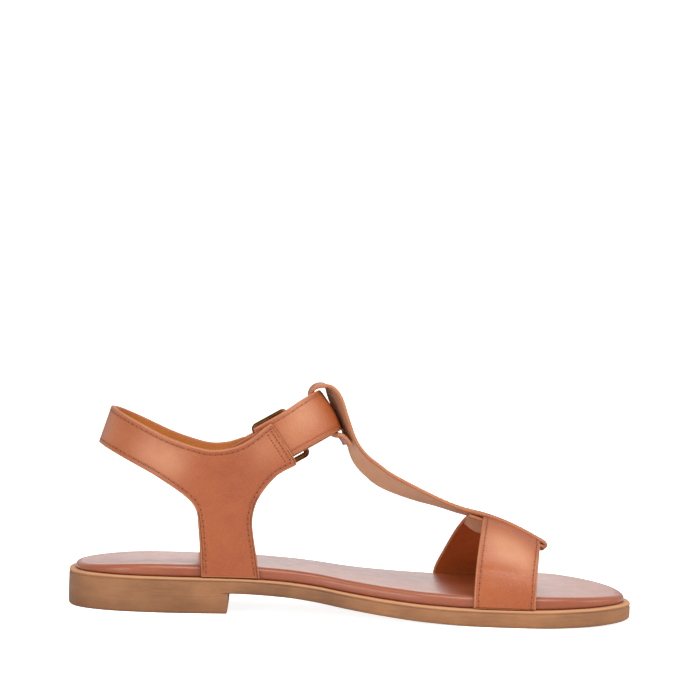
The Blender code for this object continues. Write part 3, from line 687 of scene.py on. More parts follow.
def strap_piece(name, points, faces, half, stitched, finishes, spots=()):
    """A strap about a sheet: leather outside, lining inside and a round edge between them."""
    normals = sheet_normals(points, faces)
    away = edge_directions(points, faces, normals)
    rim_points = [p for edge in free_edges(faces) for p in between(points, edge, RIM_SAMPLE * MM)]
    stitched_points = [p for chain in stitched for p in between(points, chain, RIM_SAMPLE * MM)]
    edge_distance = distances(points, rim_points) * 2
    stitched_edge = distances(points, stitched_points) * 2
    base = [p - away[i] * half[i] * RIM_FULLNESS if i in away else p for i, p in enumerate(points)]
    count = len(points)
    verts = [p + n * h for p, n, h in zip(base, normals, half)]
    verts += [p - n * h for p, n, h in zip(base, normals, half)]
    rim = {}
    for i, outward in away.items():
        rim[i] = [i]
        for k in range(1, RIM_STEPS):
            angle = math.pi * k / RIM_STEPS
            rim[i].append(len(verts))
            swell = outward * RIM_FULLNESS * math.sin(angle)
            verts.append(base[i] + (normals[i] * math.cos(angle) + swell) * half[i])
            edge_distance.append(0.0)
            stitched_edge.append(0.0)
        rim[i].append(count + i)
    wall = faces + [tuple(count + i for i in reversed(f)) for f in faces]
    finish_of = [OUTER_FACE] * len(faces) + [INNER_FACE] * len(faces)
    for a, b in free_edges(faces):
        for k in range(RIM_STEPS):
            wall.append((rim[b][k], rim[a][k], rim[a][k + 1], rim[b][k + 1]))
            finish_of.append(RIM_FACE)
    # The pull value is the weight of the painted highlight spots
    values = {"edge_distance": edge_distance, "stitched_edge": stitched_edge, "pull": spot_weights(verts, spots)}
    return mesh_piece(name, verts, wall, finishes, finish_of, values)


print("a strap edge is rounded in", RIM_STEPS, "steps")

# %% [markdown]
# ## Stitches
# Each row is lockstitch in waxed thread, about 2 mm from the edge: short threads that dip into a needle
# hole at both ends. A dashed texture would do from far away. Small raised threads catch the light and
# hold up from the side, and since every stitch is the same little form, one function can lay a row
# along any edge.

# %% Lay a row of stitches along an edge
STITCH_PITCH = 2.5
STITCH_LENGTH = 1.75
THREAD_RADIUS = 0.32
THREAD_SINK = 0.12
THREAD_FULLNESS = 0.7
THREAD_RINGS, THREAD_SIDES = 5, 7
HOLE_RADIUS = 0.34
HOLE_RISE = 0.03
HOLE_SIDES = 8


def row_on_sheet(points, faces, half, chain, inset, trim):
    """Places on the leather's face along an edge and inside it by an inset, each with its direction out."""
    normals = sheet_normals(points, faces)
    away = edge_directions(points, faces, normals)
    tree = BVHTree.FromPolygons([tuple(p) for p in points], [tuple(f) for f in faces])
    line = [points[i] - away[i] * inset * MM for i in chain]
    lengths = [0.0]
    for a, b in zip(line, line[1:]):
        lengths.append(lengths[-1] + (b - a).length)
    total = lengths[-1] - 2 * trim * MM
    count = max(2, int(total / (STITCH_PITCH * MM)))
    found = []
    k = 0
    for step in range(count + 1):
        target = trim * MM + total * step / count
        while k < len(lengths) - 2 and lengths[k + 1] < target:
            k += 1
        share = (target - lengths[k]) / max(lengths[k + 1] - lengths[k], 1e-9)
        spot, normal, _, _ = tree.find_nearest(line[k].lerp(line[k + 1], share))
        found.append((spot + normal * half * MM, normal))
    return found


def add_thread(verts, faces, start, end, normal):
    """One raised thread between two needle holes, closed at both tips and half sunk in the leather."""
    middle = (start + end) / 2 - normal * (THREAD_SINK * MM)
    along = (end - start).normalized()
    across = normal.cross(along).normalized()
    reach = along * (STITCH_LENGTH / 2 * MM)
    tips = (len(verts), len(verts) + 1)
    verts += [middle - reach, middle + reach]
    rings = []
    for i in range(1, THREAD_RINGS + 1):
        share = 2 * i / (THREAD_RINGS + 1) - 1
        swell = math.sqrt(1 - share * share) ** THREAD_FULLNESS
        rings.append(range(len(verts), len(verts) + THREAD_SIDES))
        for k in range(THREAD_SIDES):
            angle = 2 * math.pi * k / THREAD_SIDES
            side = across * math.cos(angle) + normal * math.sin(angle)
            verts.append(middle + reach * share + side * (THREAD_RADIUS * swell * MM))
    for k in range(THREAD_SIDES):
        after = (k + 1) % THREAD_SIDES
        faces.append((tips[0], rings[0][after], rings[0][k]))
        for low, high in zip(rings, rings[1:]):
            faces.append((low[k], low[after], high[after], high[k]))
        faces.append((tips[1], rings[-1][k], rings[-1][after]))


def add_hole(verts, faces, centre, normal, radius, rise=HOLE_RISE):
    """A small dark plug of painted shade for a hole: round just above the leather, narrowing to a point
    inside it.
    """
    across = normal.orthogonal().normalized()
    other = normal.cross(across)
    point = len(verts)
    verts.append(centre - normal * (radius * MM))
    ring = range(point + 1, point + 1 + HOLE_SIDES)
    for k in range(HOLE_SIDES):
        angle = 2 * math.pi * k / HOLE_SIDES
        side = across * math.cos(angle) + other * math.sin(angle)
        verts.append(centre + normal * (rise * MM) + side * (radius * MM))
        faces.append((ring[(k + 1) % HOLE_SIDES], ring[k], point))
    faces.append(tuple(ring))


def stitch_rows(name, rows, hole_radius=HOLE_RADIUS):
    """All the rows of one strap as one piece: threads, and dark plugs of painted shade in the needle holes.
    """
    verts, faces = [], []
    for row in rows:
        for (start, first), (end, second) in zip(row, row[1:]):
            add_thread(verts, faces, start, end, ((first + second) / 2).normalized())
    thread_faces = len(faces)
    for row in rows:
        for spot, normal in row:
            add_hole(verts, faces, spot, normal, hole_radius)
    finish_of = [0] * thread_faces + [1] * (len(faces) - thread_faces)
    mesh_piece(name, verts, faces, (waxed_thread, hole_shade), finish_of)
    print(name, "has", sum(len(row) - 1 for row in rows), "stitches")


print("a stitch is", STITCH_LENGTH, "mm long, and they lie about", STITCH_PITCH, "mm apart")

# %% [markdown]
# ## Toe strap
# The broad strap over the toes stands on the outsole on both sides and runs lower at its front edge. On
# the real strap a soft crease runs along its side where it bends down, and both long edges are
# stitched. It could be cut flat and bent with a lattice. Here it is one sheet worked out from a section
# of the forefoot, because the same section already gave the solid.

# %% Toe strap
ArchRow = namedtuple("ArchRow", "medial_station lateral_station crown_station crown_height")
TOE_STRAP_REAR = ArchRow(180.7, 165.0, 184.8, 44.9)
TOE_STRAP_FRONT = ArchRow(208.2, 192.0, 210.6, 34.5)
TOE_STRAP_CROWN_Y = -6.0
TOE_STRAP_CROWN_EASE = 1.4
TOE_STRAP_SWEEP_MEDIAL, TOE_STRAP_SWEEP_LATERAL = 1.8, 1.0
TOE_STITCH_TRIM = 1.5
# Its section on each side, from the crown to the foot: shares out to the side and up
SectionRow = namedtuple("SectionRow", "out up")
MEDIAL_SECTION = (
    SectionRow(0.0, 1.0),
    SectionRow(0.2, 0.988),
    SectionRow(0.4, 0.941),
    SectionRow(0.6, 0.844),
    SectionRow(0.75, 0.719),
    SectionRow(0.87, 0.558),
    SectionRow(0.95, 0.373),
    SectionRow(1.0, 0.16),
    SectionRow(1.0, 0.0),
)
LATERAL_SECTION = (
    SectionRow(0.0, 1.0),
    SectionRow(0.15, 0.99),
    SectionRow(0.28, 0.965),
    SectionRow(0.39, 0.915),
    SectionRow(0.58, 0.73),
    SectionRow(0.78, 0.48),
    SectionRow(0.94, 0.27),
    SectionRow(1.0, 0.14),
    SectionRow(1.0, 0.0),
)
TOE_STRAP_CREASES = (
    Crease((181, -40.5, 25.5), (209, -40.0, 24.0), 2.3, 0.75),
    Crease((184, -42.5, 17.5), (206, -42.5, 16.5), 3.0, -0.3),
    Crease((188, -36.0, 32.0), (202, -34.0, 30.5), 3.6, -0.4),
    Crease((170, 38.0, 25.0), (197, 38.0, 22.0), 3.0, 0.5),
    Crease((180, 28.0, 33.0), (196, 26.0, 29.0), 4.0, 0.35),
)
# Spots of painted highlight on the toe strap
TOE_STRAP_HIGHLIGHTS = (
    Spot(189, -29.0, 38.5, 8.0, 0.55),
    Spot(194, -36.0, 33.0, 7.5, 0.6),
    Spot(200, -31.0, 34.5, 8.0, 0.6),
    Spot(204, -36.5, 29.0, 6.5, 0.5),
    Spot(180, 28.0, 32.0, 12.0, 0.6),
)


def section_point(rows, turn):
    """Shares out and up on a section, at a turn from 0 at the crown to 1 at the foot."""
    last = len(rows) - 1
    i = min(int(turn * last), last - 1)
    near = [rows[min(max(i + k, 0), last)] for k in (-1, 0, 1, 2)]
    return [curve_point(*values, turn * last - i) for values in zip(*near)]


def toe_strap_point(share, angle):
    """A point on the toe strap: share runs from rear to front edge, angle from medial to lateral side."""
    rear, front = TOE_STRAP_REAR, TOE_STRAP_FRONT
    medial = angle < math.pi / 2
    sweep = TOE_STRAP_SWEEP_MEDIAL if medial else TOE_STRAP_SWEEP_LATERAL
    side = -1 if medial else 1
    ends = (rear.lateral_station, front.lateral_station)
    if medial:
        ends = (rear.medial_station, front.medial_station)
    foot_station = ends[0] + (ends[1] - ends[0]) * share
    crown_station = rear.crown_station + (front.crown_station - rear.crown_station) * share
    drop = rear.crown_height - front.crown_height
    crown_height = rear.crown_height - drop * share**TOE_STRAP_CROWN_EASE
    foot_y = sole_edge(foot_station, side) - side * STRAP_SEAT_INSET
    foot_height = sole_top(foot_station) + SEAT_GAP
    section = MEDIAL_SECTION if medial else LATERAL_SECTION
    out, up = section_point(section, abs(angle / (math.pi / 2) - 1))
    return place(
        crown_station + (foot_station - crown_station) * out**sweep,
        TOE_STRAP_CROWN_Y + (foot_y - TOE_STRAP_CROWN_Y) * out,
        foot_height + (crown_height - foot_height) * up,
    )


def make_toe_strap():
    """The toe strap and its two rows of stitches."""
    along, across = 110, 22
    angles = [math.pi * i / along for i in range(along + 1)]
    points = [toe_strap_point(j / across, angle) for angle in angles for j in range(across + 1)]
    faces = grid_faces(along + 1, across + 1)
    points = press_creases(points, faces, TOE_STRAP_CREASES)
    edges = [[i * (across + 1) + j for i in range(along + 1)] for j in (0, across)]
    outside = STRAP_THICKNESS / 2
    half = [outside * MM] * len(points)
    finishes = (strap_leather, strap_lining, cut_edge)
    strap = strap_piece("toe_strap", points, faces, half, edges, finishes, TOE_STRAP_HIGHLIGHTS)
    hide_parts("vamp_straps")
    rows = [row_on_sheet(points, faces, outside, edge, STITCH_INSET, TOE_STITCH_TRIM) for edge in edges]
    stitch_rows("toe_strap_stitches", rows)
    return strap


toe_strap = make_toe_strap()
print("toe strap has", len(toe_strap.data.polygons), "faces")

# %% [markdown]
# ## Instep strap
# This narrow strap starts under the toe strap, folds round its front edge, lies on it, climbs the
# instep, folds over the ankle strap as a loop, and is sewn to itself inside. Its lining is a lighter
# taupe, and it shows, because the strap leans to the outer side of the foot. It could be a curve with a
# flat bevel. A path of rows with a width gives the same ribbon, and each row can also tilt and bow.

# %% Instep strap
FoldRow = namedtuple("FoldRow", "station height y tilt bow")
INSTEP_STRAP_ROWS = (
    FoldRow(178.0, 44.3, -1.5, -8.0, -0.2),
    FoldRow(184.0, 41.6, -1.8, -14.0, -0.2),
    FoldRow(190.0, 40.4, -2.0, -7.0, -0.1),
    FoldRow(197.4, 39.6, -2.0, -1.0, 0.0),
    FoldRow(203.8, 36.7, -2.0, 0.0, 0.0),
    FoldRow(208.5, 34.2, -2.0, 0.0, 0.0),
    FoldRow(211.9, 32.4, -2.0, 0.0, 0.0),
    FoldRow(213.2, 32.7, -2.0, 0.0, 0.0),
    FoldRow(212.9, 34.0, -2.0, 0.0, 0.0),
    FoldRow(208.6, 36.3, -2.0, 0.0, 0.0),
    FoldRow(204.6, 38.4, -2.0, 0.0, 0.0),
    FoldRow(198.1, 41.4, -2.0, 0.0, 0.0),
    FoldRow(191.6, 43.9, -2.0, 0.0, 0.0),
    FoldRow(184.8, 45.9, -1.8, 0.0, 0.0),
    FoldRow(178.0, 47.2, -1.5, 2.0, 0.1),
    FoldRow(171.0, 49.0, -1.0, 7.0, 0.4),
    FoldRow(157.0, 53.5, -0.4, 20.0, 0.7),
    FoldRow(142.2, 59.4, 0.0, 28.0, 0.7),
    FoldRow(135.0, 64.3, 0.0, 28.0, 0.8),
    FoldRow(129.5, 69.4, -0.2, 23.0, 0.8),
    FoldRow(125.2, 76.8, -0.5, 14.0, 0.6),
    FoldRow(120.9, 86.7, -0.8, 15.0, 0.4),
    FoldRow(117.5, 95.3, -1.0, 18.0, 0.6),
    FoldRow(114.7, 99.9, -1.0, 12.0, 0.5),
    FoldRow(111.4, 101.3, -1.0, 2.0, 0.0),
    FoldRow(107.4, 100.0, -1.0, 0.0, -0.5),
    FoldRow(106.0, 95.9, -1.0, 0.0, -1.0),
    FoldRow(109.9, 89.6, -1.0, 0.0, -1.2),
    FoldRow(113.8, 83.4, -1.0, -1.0, -1.2),
    FoldRow(116.9, 80.0, -0.9, -3.0, -1.1),
    FoldRow(120.0, 79.2, -0.8, -7.0, -0.8),
    FoldRow(122.1, 77.2, -0.7, -9.0, -0.6),
    FoldRow(123.4, 74.9, -0.6, -10.0, -0.5),
)
INSTEP_ROW_STEPS = 6
INSTEP_STITCH_START, INSTEP_STITCH_END = 8, 23
INSTEP_STITCH_TRIM = 1.0
INNER_RUN_ROWS = 4
TOE_LEAN_START, TOE_LEAN_END = 160.0, 182.0
TOE_LEAN_DROP, TOE_LEAN_SAG = 1.5, 1.0


def make_instep_strap():
    """The instep strap as one ribbon along its path, with a row of stitches along both edges."""
    across = 12
    path = smooth_rows(INSTEP_STRAP_ROWS, INSTEP_ROW_STEPS)
    points = []
    for i, row in enumerate(path):
        before, after = path[max(i - 1, 0)], path[min(i + 1, len(path) - 1)]
        along = Vector((after.station - before.station, 0, after.height - before.height)).normalized()
        inwards = Vector((-along.z, 0, along.x))
        turn = math.radians(row.tilt)
        width = Vector((0, 1, 0)) * math.cos(turn) + inwards * math.sin(turn)
        lean = ease(row.station, TOE_LEAN_START, TOE_LEAN_END)
        for j in range(across + 1):
            v = 2 * j / across - 1
            sunk = lean * (TOE_LEAN_DROP * v + TOE_LEAN_SAG * v * v)
            offset = width * (v * INSTEP_STRAP_HALF_WIDTH) + inwards * (row.bow * v * v)
            points.append(place(row.station + offset.x, row.y + offset.y, row.height + offset.z - sunk))
    faces = grid_faces(len(path), across + 1)
    edges = [[i * (across + 1) + j for i in range(len(path))] for j in (0, across)]
    outside = INSTEP_STRAP_THICKNESS / 2
    half = [outside * MM] * len(points)
    strap = strap_piece("instep_strap", points, faces, half, edges, (strap_leather, taupe_lining, cut_edge))
    for face in range(INNER_RUN_ROWS * INSTEP_ROW_STEPS * across):
        strap.data.polygons[face].material_index = INNER_FACE
    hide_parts("vamp_straps")
    shown = slice(INSTEP_STITCH_START * INSTEP_ROW_STEPS, INSTEP_STITCH_END * INSTEP_ROW_STEPS)
    runs = [edge[shown] for edge in edges]
    rows = [row_on_sheet(points, faces, outside, run, STITCH_INSET, INSTEP_STITCH_TRIM) for run in runs]
    stitch_rows("instep_strap_stitches", rows)
    return strap


instep_strap = make_instep_strap()
print("instep strap has", len(instep_strap.data.polygons), "faces")

# %% [markdown]
# ## Heel strap and stems
# One piece of leather goes round the back of the heel and down both sides in a stem to the sole. On the
# inner side its front end is sewn over the ankle strap with two slanting rows. On the outer side it
# narrows, folds round the buckle's bar and is sewn down inside. It could be a band and two stems that
# overlap. Here the band is a grid of lines across it, and the stems hang from its lower edge, so band
# and stems share their points and the leather runs through without a seam.

# %% Sizes of the heel strap, its stems and the plane of the ankle strap
BandRow = namedtuple("BandRow", "low_station low_height top_station top_height side")
BAND_ROWS = (
    BandRow(12.0, 71.7, 17.4, 88.9, 0.0),
    BandRow(15.6, 70.8, 20.9, 87.6, 0.5),
    BandRow(25.0, 66.7, 30.2, 83.5, 0.866),
    BandRow(37.6, 60.6, 42.5, 78.0, 1.0),
    BandRow(49.0, 54.2, 53.9, 74.3, 1.0),
    BandRow(59.5, 56.0, 61.8, 72.8, 1.0),
    BandRow(70.0, 58.2, 69.0, 73.5, 1.0),
    BandRow(80.0, 60.8, 75.5, 75.7, 1.0),
)
MEDIAL_BRANCH_ROWS = (
    BandRow(90.6, 62.2, 81.0, 79.4, 1.0),
    BandRow(95.6, 64.8, 85.0, 83.0, 1.0),
    BandRow(101.2, 67.8, 88.6, 85.9, 1.0),
)
JUNCTION_START = 4
StemRow = namedtuple("StemRow", "rear_station rear_height front_station front_height")
STEM_ROWS = (
    StemRow(53.2, 51.2, 86.7, 56.6),
    StemRow(56.0, 47.2, 83.2, 49.8),
    StemRow(57.5, 41.0, 81.7, 42.6),
    StemRow(58.4, 33.5, 82.3, 35.6),
    StemRow(59.3, 25.0, 84.0, 26.5),
    StemRow(59.8, 16.2, 85.8, 16.2),
)
LATERAL_STEM_SETBACK = 2.0
LATERAL_BAND_DROP = 1.3
STEM_LEAN_TOP = 55.0
RING_STATION, RING_HEIGHT = 94.7, 80.4
RING_SLOPE = math.radians(31.0)
RING_LATERAL_DROP = 5.0
RING_FRONT = 21.6
RING_SPRING_LINE = -4.0
RING_HALF_WIDTH = 24.3
RING_FULLNESS = 2.3
LAP_LENGTH = 11.0
RING_FRONT_FLARE = 1.5
BUCKLE_REAR_BAR = -13.2
BUCKLE_LENGTH = 16.0
BUCKLE_Y = 23.3
BUCKLE_WIRE_RADIUS = 1.3
BUCKLE_HALF_HEIGHT = 11.2
BUCKLE_CORNER = 1.6
PRONG_RADIUS = 0.8
FOLD_HALF_WIDTH = 8.4
FOLD_LEAD_IN = 3.0
FOLD_TURN_STEP = 15
# The end of the heel strap that lies back inside the fold, from the buckle's rear bar
StrapRow = namedtuple("StrapRow", "along y")
FOLD_END_ROWS = (
    StrapRow(-3.3, 21.6),
    StrapRow(-6.8, 22.9),
    StrapRow(-10.8, 23.5),
    StrapRow(-14.0, 23.6),
)
PRONG_SLOT_HALF_WIDTH = 1.7
QUARTER_CREASES = (
    Crease((45.5, -27.5, 76.5), (47.0, -27.5, 58.5), 3.2, 0.45),
    Crease((53.0, -27.5, 73.0), (50.5, -27.5, 58.0), 3.6, -0.35),
    Crease((60.0, -27.5, 60.5), (80.0, -27.5, 63.0), 4.5, 0.5),
    Crease((62.0, -27.5, 48.0), (78.0, -27.5, 50.0), 3.5, 0.3),
    Crease((63.5, -27.9, 44.0), (64.0, -28.8, 27.0), 2.6, 0.25),
    Crease((86.0, -27.5, 67.0), (92.0, -27.5, 78.0), 3.6, -0.3),
    Crease((45.5, 25.5, 76.5), (47.0, 25.5, 58.5), 3.4, 0.45),
    Crease((58.0, 25.5, 60.0), (78.0, 25.5, 62.5), 4.2, 0.45),
)
# Spots of painted highlight on the heel strap
QUARTER_HIGHLIGHTS = (
    Spot(34.0, -25.0, 72.0, 9.0, 0.4),
    Spot(43.5, -27.5, 67.5, 9.0, 0.85),
    Spot(86.0, -27.5, 74.0, 9.0, 0.4),
    Spot(17.0, -12.0, 79.0, 12.0, 0.5),
    Spot(42.0, 25.5, 67.0, 10.0, 0.7),
)


def on_ring(along, up, y):
    """A point of the ankle strap's plane: along the strap, across its width, and beside the centre line."""
    cosine, sine = math.cos(RING_SLOPE), math.sin(RING_SLOPE)
    up -= RING_LATERAL_DROP * (0.5 + 0.5 * (y - ANKLE_CENTRE_Y) / ANKLE_HALF_WIDTH)
    return RING_STATION + along * cosine - up * sine, y, RING_HEIGHT + along * sine + up * cosine


def ankle_side(share, side):
    """Distance of the heel strap from the centre line."""
    return ANKLE_CENTRE_Y + side * ANKLE_HALF_WIDTH * share


def stem_side(station, height, side):
    """Distance of the stem from the centre line, leaning from the sole's edge to the flat of the ankle."""
    foot = sole_top(station) + SEAT_GAP
    base = sole_edge(station, side) - side * STRAP_SEAT_INSET
    return base + (ankle_side(1, side) - base) * ease(height, foot, STEM_LEAN_TOP)


def buckle_fold_path():
    """Places along and beside the strap where its end folds round the buckle's bar and lies back inside."""
    radius = BUCKLE_WIRE_RADIUS + SEAT_GAP + FOLD_THICKNESS / 2
    path = [(BUCKLE_REAR_BAR - FOLD_LEAD_IN, BUCKLE_Y + radius)]
    for degrees in range(90, -91, -FOLD_TURN_STEP):
        angle = math.radians(degrees)
        path.append((BUCKLE_REAR_BAR + radius * math.cos(angle), BUCKLE_Y + radius * math.sin(angle)))
    return path + [(BUCKLE_REAR_BAR + row.along, row.y) for row in FOLD_END_ROWS]


print("the buckle's bar is at", [round(v, 1) for v in on_ring(BUCKLE_REAR_BAR, 0, BUCKLE_Y)])


# %% Points of the band and its stems
BAND_STEPS, STEM_STEPS = 9, 6
CELLS_BELOW_SLIT = 5
SLIT_FIRST_LINE = 3


def band_shares():
    """Places across the band, with narrow cells in the middle for the prong's slit."""
    slit = 0.5 * PRONG_SLOT_HALF_WIDTH / FOLD_HALF_WIDTH
    lower = [(0.5 - slit) * k / CELLS_BELOW_SLIT for k in range(CELLS_BELOW_SLIT + 1)]
    return lower + [0.5] + [1 - share for share in reversed(lower)]


def band_points(shares, fold, lateral, medial):
    """Lines of points across the band, from the fold's end round the heel to the seam on the inner side."""
    lines = []
    for along, y in reversed(fold):
        lines.append((on_ring(along, -FOLD_HALF_WIDTH, y), on_ring(along, FOLD_HALF_WIDTH, y)))
    for row, side in [(row, 1) for row in reversed(lateral)] + [(row, -1) for row in medial[1:]]:
        y = ankle_side(row.side, side)
        drop = LATERAL_BAND_DROP * row.side if side > 0 else 0.0
        low = (row.low_station, y, row.low_height - drop)
        lines.append((low, (row.top_station, y, row.top_height - drop)))
    points = []
    for low, top in lines:
        points += [place(*(a + (b - a) * share for a, b in zip(low, top))) for share in shares]
    return points


def stem_points(points, top_row, side):
    """Adds the points of a stem below the band, and returns its rows of point numbers from top to foot."""
    setback = LATERAL_STEM_SETBACK if side > 0 else 0.0
    rows = [top_row]
    for stem in smooth_rows(STEM_ROWS, STEM_STEPS):
        here = []
        for k in range(len(top_row)):
            share = k / (len(top_row) - 1)
            station = stem.rear_station + (stem.front_station - stem.rear_station) * share - setback
            height = stem.rear_height + (stem.front_height - stem.rear_height) * share
            height = max(height, sole_top(station) + SEAT_GAP)
            here.append(len(points))
            points.append(place(station, stem_side(station, height, side), height))
        rows.append(here)
    return rows


print("the band is", len(band_shares()), "points wide")

# %% Even out the edges where band, stems and seam meet
Evening = namedtuple("Evening", "reach rounds")
REAR_EVENING = Evening(9, 40)
FRONT_EVENING = Evening(5, 14)
SEAM_LOW_EVENING, SEAM_TOP_EVENING = Evening(3, 6), Evening(3, 4)
SEAM_RUN = 8


def even_out(points, chain, middle, evening):
    """Draws the points of an edge near one place into a smooth curve, most of all in its middle."""
    for _ in range(evening.rounds):
        moved = {}
        for k in range(middle - evening.reach, middle + evening.reach + 1):
            pull = 0.5 * (1 - abs(k - middle) / (evening.reach + 1))
            between_both = (points[chain[k - 1]] + points[chain[k + 1]]) / 2
            moved[chain[k]] = points[chain[k]].lerp(between_both, pull)
        for i, point in moved.items():
            points[i] = point


print("the stems' rear edges are evened out in", REAR_EVENING.rounds, "rounds")

# %% Heel strap
FOLD_EASE_LINES = 6
QUARTER_STITCH_TRIM = 2.0
SEAM_ROW_GAP = 2.2


def make_heel_quarter():
    """The heel strap with its stems, and its rows of stitches."""
    shares = band_shares()
    across = len(shares)
    medial = smooth_rows(BAND_ROWS + MEDIAL_BRANCH_ROWS, BAND_STEPS)
    lateral = smooth_rows(BAND_ROWS, BAND_STEPS)
    fold = buckle_fold_path()
    points = band_points(shares, fold, lateral, medial)
    lines = len(points) // across
    half = []
    for i in range(lines):
        full = ease(i, len(fold), len(fold) + FOLD_EASE_LINES)
        thickness = FOLD_THICKNESS + (STRAP_THICKNESS - FOLD_THICKNESS) * full
        half += [thickness / 2 * MM] * across
    slit_columns = (CELLS_BELOW_SLIT, CELLS_BELOW_SLIT + 1)
    slit_cells = [(i, j) for i in range(SLIT_FIRST_LINE, len(fold) - 1) for j in slit_columns]
    faces = grid_faces(lines, across, slit_cells, True)

    heel_line = len(fold) + len(lateral) - 1
    edges = []
    for side, stop in ((1, len(lateral) - 1), (-1, len(BAND_ROWS) * BAND_STEPS)):
        lines_below = [heel_line - side * k for k in range(JUNCTION_START * BAND_STEPS, stop + 1)]
        rows = stem_points(points, [line * across for line in lines_below], side)
        for above, here in zip(rows, rows[1:]):
            for k in range(len(above) - 1):
                face = (above[k], above[k + 1], here[k + 1], here[k])
                faces.append(face if side > 0 else tuple(reversed(face)))
        edges.append([row[0] for row in rows])
        edges.append([row[-1] for row in rows])
    far_rear, far_front, near_rear, near_front = edges
    half += [STRAP_THICKNESS / 2 * MM] * (len(points) - len(half))

    reach = JUNCTION_START * BAND_STEPS
    back = [i * across for i in range(heel_line - reach, heel_line + reach + 1)]
    rear_edge = far_rear[:0:-1] + back + near_rear[1:]
    for middle in (len(far_rear) - 1, len(far_rear) + len(back) - 2):
        even_out(points, rear_edge, middle, REAR_EVENING)
    branch = [i * across for i in range(heel_line + len(BAND_ROWS) * BAND_STEPS, lines)]
    front_edge = near_front[:0:-1] + branch
    even_out(points, front_edge, len(near_front) - 1, FRONT_EVENING)
    top = [i * across + across - 1 for i in range(len(fold) - 2, lines)]
    seam = [(lines - 1) * across + j for j in range(across)]
    even_out(points, branch[-SEAM_RUN:-1] + seam, SEAM_RUN - 1, SEAM_LOW_EVENING)
    even_out(points, top[-SEAM_RUN:-1] + seam[::-1], SEAM_RUN - 1, SEAM_TOP_EVENING)
    points = press_creases(points, faces, QUARTER_CREASES)

    far_branch = [i * across for i in range(len(fold) - 2, len(fold) + 1)]
    stitched = (top, rear_edge, front_edge, far_front[:0:-1] + far_branch[::-1], seam)
    finishes = (strap_leather, heel_lining_painted_light, cut_edge)
    strap = strap_piece("heel_quarter_leather", points, faces, half, stitched, finishes, QUARTER_HIGHLIGHTS)
    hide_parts("heel_quarter")
    outside = STRAP_THICKNESS / 2
    stitch_lines = [(edge, STITCH_INSET) for edge in stitched] + [(seam, STITCH_INSET + SEAM_ROW_GAP)]
    rows = [row_on_sheet(points, faces, outside, *line, QUARTER_STITCH_TRIM) for line in stitch_lines]
    stitch_rows("heel_quarter_stitches", rows)
    return strap


heel_quarter = make_heel_quarter()
print("heel strap has", len(heel_quarter.data.polygons), "faces")

# %% [markdown]
# ## Ankle strap
# The ankle strap starts under the seam of the inner side, goes through the loop of the instep strap,
# passes through the buckle from inside and ends in a tapered tip. Its tip has a few punched holes, and
# the prong goes through one more. The strap lies in a plane that rises to the front. Its path could be
# drawn in space, and in that plane it takes only two numbers for each point.

# %% Path of the ankle strap
# Its end at the buckle, from the buckle's rear bar
BUCKLE_END_ROWS = (
    StrapRow(19.2, 20.6),
    StrapRow(16.0, 20.7),
    StrapRow(12.0, 21.4),
    StrapRow(9.7, 22.6),
    StrapRow(8.0, 24.0),
    StrapRow(6.2, 25.6),
    StrapRow(4.4, 27.0),
    StrapRow(2.4, 27.9),
    StrapRow(-0.3, 28.3),
    StrapRow(-5.8, 28.0),
    StrapRow(-14.8, 27.8),
    StrapRow(-24.0, 27.8),
)
BUCKLE_END_STEPS = 5
SEAM_STEPS = (-LAP_LENGTH, -9.2, -7.4)
RING_TURNS = 72
RING_JOIN_GAP = 1.2


def ankle_strap_path():
    """Places along and beside the ankle strap, from the seam round the front to the tip past the buckle."""
    depth = RING_FRONT - RING_SPRING_LINE
    path = [(along, -RING_HALF_WIDTH) for along in SEAM_STEPS]
    for k in range(RING_TURNS + 1):
        angle = math.pi * k / RING_TURNS
        along = RING_SPRING_LINE + depth * math.sin(angle) ** (2 / RING_FULLNESS)
        if angle > math.pi / 2 and along < BUCKLE_REAR_BAR + BUCKLE_END_ROWS[0].along + RING_JOIN_GAP:
            break
        aside = abs(math.cos(angle)) ** (2 / RING_FULLNESS)
        path.append((along, math.copysign(RING_HALF_WIDTH * aside, -math.cos(angle))))
    path = [(along, y + ANKLE_CENTRE_Y) for along, y in path]
    buckle_end = smooth_rows(BUCKLE_END_ROWS, BUCKLE_END_STEPS)
    return path + [(BUCKLE_REAR_BAR + row.along, row.y) for row in buckle_end]


print("the ankle strap's path has", len(ankle_strap_path()), "places")

# %% Ankle strap
ANKLE_STRAP_SHARES = (-1.0, -0.84, -0.68, -0.5, -0.34, -0.17, 0.0, 0.17, 0.34, 0.5, 0.68, 0.84, 1.0)
RING_FRONT_BOW, RING_BOW_START = 1.0, 10.0
STRAP_TIP_TAPER, STRAP_TIP_SHARE, STRAP_TIP_FULLNESS = 6.0, 0.55, 2.0
PRONG_HOLE_START, PRONG_HOLE_END = 8.9, 3.3
PRONG_HOLE_HALF_WIDTH, PRONG_HOLE_END_SHARE = 1.15, 0.4
PRONG_HOLE_COLUMNS = 5, 7
ANKLE_STITCH_TRIM = 2.0
ANKLE_HOLE_RADIUS = 0.2
SPARE_HOLES = (-4.5, -10.5, -16.5)
SPARE_HOLE_Y = 29.0
SPARE_HOLE_RADIUS, SPARE_HOLE_RISE = 1.1, 0.05
# Spots of painted highlight on the ankle strap
ANKLE_STRAP_HIGHLIGHTS = (
    Spot(102.5, -22.5, 90.0, 9.0, 0.75),
    Spot(97.0, -25.0, 80.0, 9.0, 0.4),
    Spot(104.0, 20.0, 84.0, 10.0, 0.6),
)


